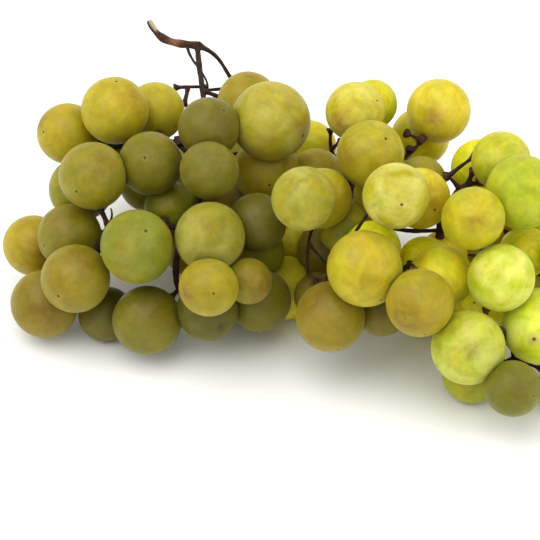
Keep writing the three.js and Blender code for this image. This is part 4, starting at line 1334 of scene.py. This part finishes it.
class Tubes:
    """Gathers tubes with closed ends into one mesh."""

    def __init__(self, sides):
        self.sides = sides
        self.points = []
        self.faces = []
        self.own = []
        self.marks = []

    def add(self, line, radii, marks, draw, pale_side=None):
        """A tube along a line with a radius and a mark at each point of it.

        A pale side keeps the first mark on that side of the tube alone.
        """
        tangents = np.gradient(line, axis=0)
        tangents /= np.linalg.norm(tangents, axis=1)[:, None]
        side = np.cross(tangents[0], SIDE_HINT)
        side /= np.linalg.norm(side)
        start = len(self.points)
        angles = 2 * math.pi * np.arange(self.sides) / self.sides
        for centre, radius, tangent, mark, along in zip(
            line, radii, tangents, marks, distances_along(line)
        ):
            side = side - tangent * (side @ tangent)
            side /= np.linalg.norm(side)
            other = np.cross(tangent, side)
            twist = math.sin(along * 0.5 + draw * 7)
            for angle in angles:
                x, y = math.cos(angle), math.sin(angle)
                out = x * side + y * other
                ridge = 1 + RIDGE * math.sin(3 * angle + draw * 9) * twist
                self.points.append(centre + out * radius * ridge)
                self.own.append((x * radius + OWN_SPREAD * draw, y * radius, along))
                pale = 1 if pale_side is None else min(1, max(0, 0.7 + 1.5 * (out @ pale_side)))
                self.marks.append((mark[0] * pale, *mark[1:]))
        last = len(self.points) - self.sides
        for ring in range(start, last, self.sides):
            for k in range(self.sides):
                a, b = ring + k, ring + (k + 1) % self.sides
                self.faces.append((a, b, b + self.sides, a + self.sides))
        self.faces.append(tuple(reversed(range(start, start + self.sides))))
        self.faces.append(tuple(range(last, last + self.sides)))


# Limbs: lengths and radii in millimetres, the rest as parts of the limb's radius.
SLOW_WAVE = 0.08
FAST_WAVE = 0.05
FLARE_LENGTH = 2.4
FLARE_RADIUS = 1.6
FLARE_CURVE = 1.5
ROOT_SWELL = 0.5
ROOT_REACH = 1.8
KNOT_SWELL = 0.55
KNOT_REACH = 3.6
KNOT_CORE = 0.7
TIP_LENGTH = 3
TIP_TAPER = 0.35
CUT_END_PART = 0.72  # how thick the peduncle is at its cut end
PEDUNCLE_GAIN = 0.36  # and how much it gains over PEDUNCLE_TAPER
PEDUNCLE_TAPER = 8
PEDUNCLE_WAVE = 0.15
CUT_LENGTH = 5.4  # pale wood at the peduncle's cut end
CUT_FADE = 1.2
PALE_SIDE = (0.8, 0.5)  # across and up
TAN_PATCH_PLACE = 13.5  # the tan patch's middle on the peduncle
TAN_PATCH_REACH = 2.6
TAN_PATCH_STRENGTH = 0.8
LIMB_BROWN = 0.6
TWIG_BROWN = 0.1


def limb_tube(tubes, limb, step, draw, is_peduncle):
    """A limb of the stem, swollen at its root and flared where it lost its berry."""
    line = catmull_rom(limb["points"], step)
    if limb["flared"]:
        direction = np.array(unit(minus(line[-1], line[-2])))
        extra = [line[-1] + direction * FLARE_LENGTH * part for part in (0.35, 0.7, 1.0)]
        line = np.vstack([line, extra])
    along = distances_along(line)
    total = along[-1]
    radius = limb["radius"]
    slow = SLOW_WAVE * np.sin(along * 0.55 + draw * 11)
    radii = radius * (1 + slow + FAST_WAVE * np.sin(along * 1.7))
    brown = LIMB_BROWN if radius > USUAL_LIMB else TWIG_BROWN
    marks = np.tile((0.0, 0.0, brown, 1.0), (len(line), 1))
    pale_side = None
    if is_peduncle:
        radii = radius * (CUT_END_PART + PEDUNCLE_GAIN * np.clip(along / PEDUNCLE_TAPER, 0, 1))
        radii += PEDUNCLE_WAVE * np.sin(along * 0.9)
        marks[:, 0] = np.clip((CUT_LENGTH - along) / CUT_FADE, 0, 1)
        marks[:, 1] = TAN_PATCH_STRENGTH * np.exp(-(((along - TAN_PATCH_PLACE) / TAN_PATCH_REACH) ** 2))
        pale_side = np.array(unit(seen(*PALE_SIDE)))
    else:
        radii += ROOT_SWELL * radius * np.exp(-(along / ROOT_REACH) ** 2)
    if limb["knot"]:
        radii += (limb["knot"] - radius) * KNOT_SWELL * np.exp(-(along / KNOT_REACH) ** 2)
    if limb["flared"]:
        rise = np.clip((along - (total - FLARE_LENGTH)) / FLARE_LENGTH, 0, 1)
        radii = radii + (FLARE_RADIUS - radii) * rise ** FLARE_CURVE
    elif not is_peduncle:
        radii *= 1 - TIP_TAPER * np.clip((along - total + TIP_LENGTH) / TIP_LENGTH, 0, 1)
    tubes.add(line, radii, marks, draw, pale_side)


PEDICEL_SINK = 0.4  # how far a pedicel's end goes into its berry
PEDICEL_RADIUS = 0.5
PEDICEL_WAVE = 0.05
PEDICEL_ROOT_SWELL = 0.35
PEDICEL_REACH = 1.5  # how far the swelling at either end spreads
SWELL_LESS = 0.75  # by how much the swelling at the berry falls short of the flare's radius
BOW_START = 0.35
BOW_END = 0.3


def pedicel_tube(tubes, pedicel, step, draw):
    """A pedicel, gently bowed, with a receptacle that widens under its berry."""
    root = np.array(pedicel["root"])
    berry = pedicel["berry"]
    out = np.array(pedicel["direction"])
    end = np.array(berry.centre) + out * (berry.radius - PEDICEL_SINK)
    reach = np.linalg.norm(end - root)
    first = root + (end - root) * BOW_START
    second = end + out * reach * BOW_END
    t = np.linspace(0, 1, max(5, int(reach / step)))[:, None]
    line = (
        (1 - t) ** 3 * root + 3 * (1 - t) ** 2 * t * first
        + 3 * (1 - t) * t ** 2 * second + t ** 3 * end
    )
    left = np.linalg.norm(line - end, axis=1)
    radii = PEDICEL_RADIUS + PEDICEL_WAVE * np.sin(left * 1.3 + draw * 9)
    swell = PEDICEL_FLARE_RADIUS - SWELL_LESS
    radii += swell * np.exp(-((left - PEDICEL_SINK) / PEDICEL_REACH) ** 2)
    from_root = np.linalg.norm(line - root, axis=1)
    radii += PEDICEL_ROOT_SWELL * np.exp(-(from_root / PEDICEL_REACH) ** 2)
    marks = np.tile((0.0, 0.0, 0.0, 1.0), (len(line), 1))
    marks[:, 1] = 0.25 * np.exp(-(left / 2) ** 2)
    tubes.add(line, radii, marks, draw)


KNOT_AXIS = np.array([0.25, 0.1, 1])
KNOT_POLE = 0.12  # angle off the axis at which a lump starts and ends
KNOT_RINGS = 9


def knot_ball(tubes, centre, radius, draw):
    """A lump where limbs meet."""
    angles = np.linspace(KNOT_POLE, math.pi - KNOT_POLE, KNOT_RINGS)
    line = np.array([np.array(centre) + KNOT_AXIS * -math.cos(a) * radius for a in angles])
    marks = np.tile((0.0, 0.1, 1.0, 1.0), (len(line), 1))
    tubes.add(line, radius * np.sin(angles), marks, draw)


# ---- operators
class OBJECT_OT_grape_berries(bpy.types.Operator):
    """Adds the berries of every lateral, each lateral as one piece"""

    bl_idname = "object.grape_berries"
    bl_label = "Add Berries"
    bl_options = {"REGISTER", "UNDO"}

    def execute(self, context):
        skins = {
            "olive_skin": skin_material("olive_skin", "wing"),
            "lime_skin": skin_material("lime_skin", "body"),
        }
        for spray, (_, slot) in SPRAYS.items():
            spray_of_berries(spray, skins[slot])
        return {"FINISHED"}


class OBJECT_OT_grape_stem(bpy.types.Operator):
    """Adds the stem with its limbs, twigs and pedicels"""

    bl_idname = "object.grape_stem"
    bl_label = "Add Stem"
    bl_options = {"REGISTER", "UNDO"}

    def execute(self, context):
        settings = context.scene.grape_stem
        step = settings.ring_step / METRES
        tubes = Tubes(settings.sides)
        rng = np.random.default_rng(LOOKS_SEED)
        for index, limb in enumerate(bunch()["limbs"]):
            limb_tube(tubes, limb, step, rng.uniform(), index == 0)
            if limb["knot"]:
                knot_ball(tubes, limb["points"][0], limb["knot"] * KNOT_CORE, rng.uniform())
        for pedicel in bunch()["pedicels"]:
            pedicel_tube(tubes, pedicel, step, rng.uniform())
        piece = new_piece(
            "grape_stem", in_frame(tubes.points), tubes.faces, stem_material(),
            {"own": tubes.own, "mark": tubes.marks},
        )
        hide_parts("stem")
        return {"FINISHED"}


FLOOR_HALF = 2.5
FLOOR_DROP = 0.0002  # keeps the floor just under the berries
LIT_PLACE = (0, 0, 0.03)
KEY_PLACE = (-0.35, -0.35, 1.0)
KEY_SIZE = 1.2
FILL_PLACE = (0.8, -0.5, 0.6)
FILL_SIZE = 1.0


def floor_material(colour):
    material, graph = new_material("floor_paper")
    graph.surface({"Base Color": colour, "Roughness": 0.9, "Specular IOR Level": 0.1})
    return material


def area_light(name, place_from, size, power):
    """A round soft light that points at the bunch."""
    light = bpy.data.lights.new(name, "AREA")
    light.shape = "DISK"
    light.size = size
    light.energy = power
    made = new_object(name, light)
    made.location = place_from
    sight = Vector(LIT_PLACE) - Vector(place_from)
    made.rotation_euler = sight.to_track_quat("-Z", "Y").to_euler()


class SCENE_OT_grape_stage(bpy.types.Operator):
    """Adds the floor, the lights and the camera"""

    bl_idname = "scene.grape_stage"
    bl_label = "Add Stage"
    bl_options = {"REGISTER", "UNDO"}

    def execute(self, context):
        settings = context.scene.grape_stage
        mesh = bpy.data.meshes.new("floor")
        corners = ((-1, -1, 0), (1, -1, 0), (1, 1, 0), (-1, 1, 0))
        mesh.from_pydata(np.multiply(corners, FLOOR_HALF), [], [(0, 1, 2, 3)])
        mesh.materials.append(floor_material(settings.floor))
        floor = new_object("floor", mesh)
        floor.location.z = -FLOOR_DROP

        area_light("key_light", KEY_PLACE, KEY_SIZE, settings.key)
        area_light("fill_light", FILL_PLACE, FILL_SIZE, settings.fill)
        world = bpy.data.worlds.new("studio")
        world.use_nodes = True
        background = world.node_tree.nodes["Background"]
        background.inputs["Color"].default_value = (1, 1, 1, 1)
        background.inputs["Strength"].default_value = settings.sky
        context.scene.world = world
        context.scene.view_settings.view_transform = "Standard"
        context.scene.view_settings.look = "None"

        camera = bpy.data.cameras.new("camera")
        camera.lens = settings.lens
        camera.sensor_width = 36
        camera.clip_start = 0.01
        made = new_object("camera", camera)
        rotation = Matrix((ACROSS, UPWARD, TOWARD)).transposed()
        eye = in_frame(place(0, 0, EYE_DISTANCE))
        made.matrix_world = Matrix.Translation(Vector(eye)) @ rotation.to_4x4()
        context.scene.camera = made
        return {"FINISHED"}


class VIEW3D_PT_grapes(bpy.types.Panel):
    """Builds the bunch of grapes"""

    bl_label = "Bunch of Grapes"
    bl_space_type = "VIEW_3D"
    bl_region_type = "UI"
    bl_category = "Grapes"

    def draw(self, context):
        for operator, groups in (
            ("object.grape_berries", ("grape_skin", "grape_berries")),
            ("object.grape_stem", ("grape_stem",)),
            ("scene.grape_stage", ("grape_stage",)),
        ):
            box = self.layout.box()
            box.operator(operator)
            for group in groups:
                settings = getattr(context.scene, group)
                for name in SETTINGS[group].__annotations__:
                    box.prop(settings, name)


SETTINGS = {
    "grape_skin": GrapeSkinSettings,
    "grape_berries": GrapeBerrySettings,
    "grape_stem": GrapeStemSettings,
    "grape_stage": GrapeStageSettings,
}
CLASSES = (
    *SETTINGS.values(),
    OBJECT_OT_grape_berries,
    OBJECT_OT_grape_stem,
    SCENE_OT_grape_stage,
    VIEW3D_PT_grapes,
)


def register():
    for cls in CLASSES:
        bpy.utils.register_class(cls)
    for name, cls in SETTINGS.items():
        setattr(bpy.types.Scene, name, PointerProperty(type=cls))


def unregister():
    for name in SETTINGS:
        delattr(bpy.types.Scene, name)
    for cls in reversed(CLASSES):
        bpy.utils.unregister_class(cls)


def main():
    register()
    bpy.ops.scene.grape_stage()
    bpy.ops.object.grape_stem()
    bpy.ops.object.grape_berries()


if __name__ == "__main__":
    main()
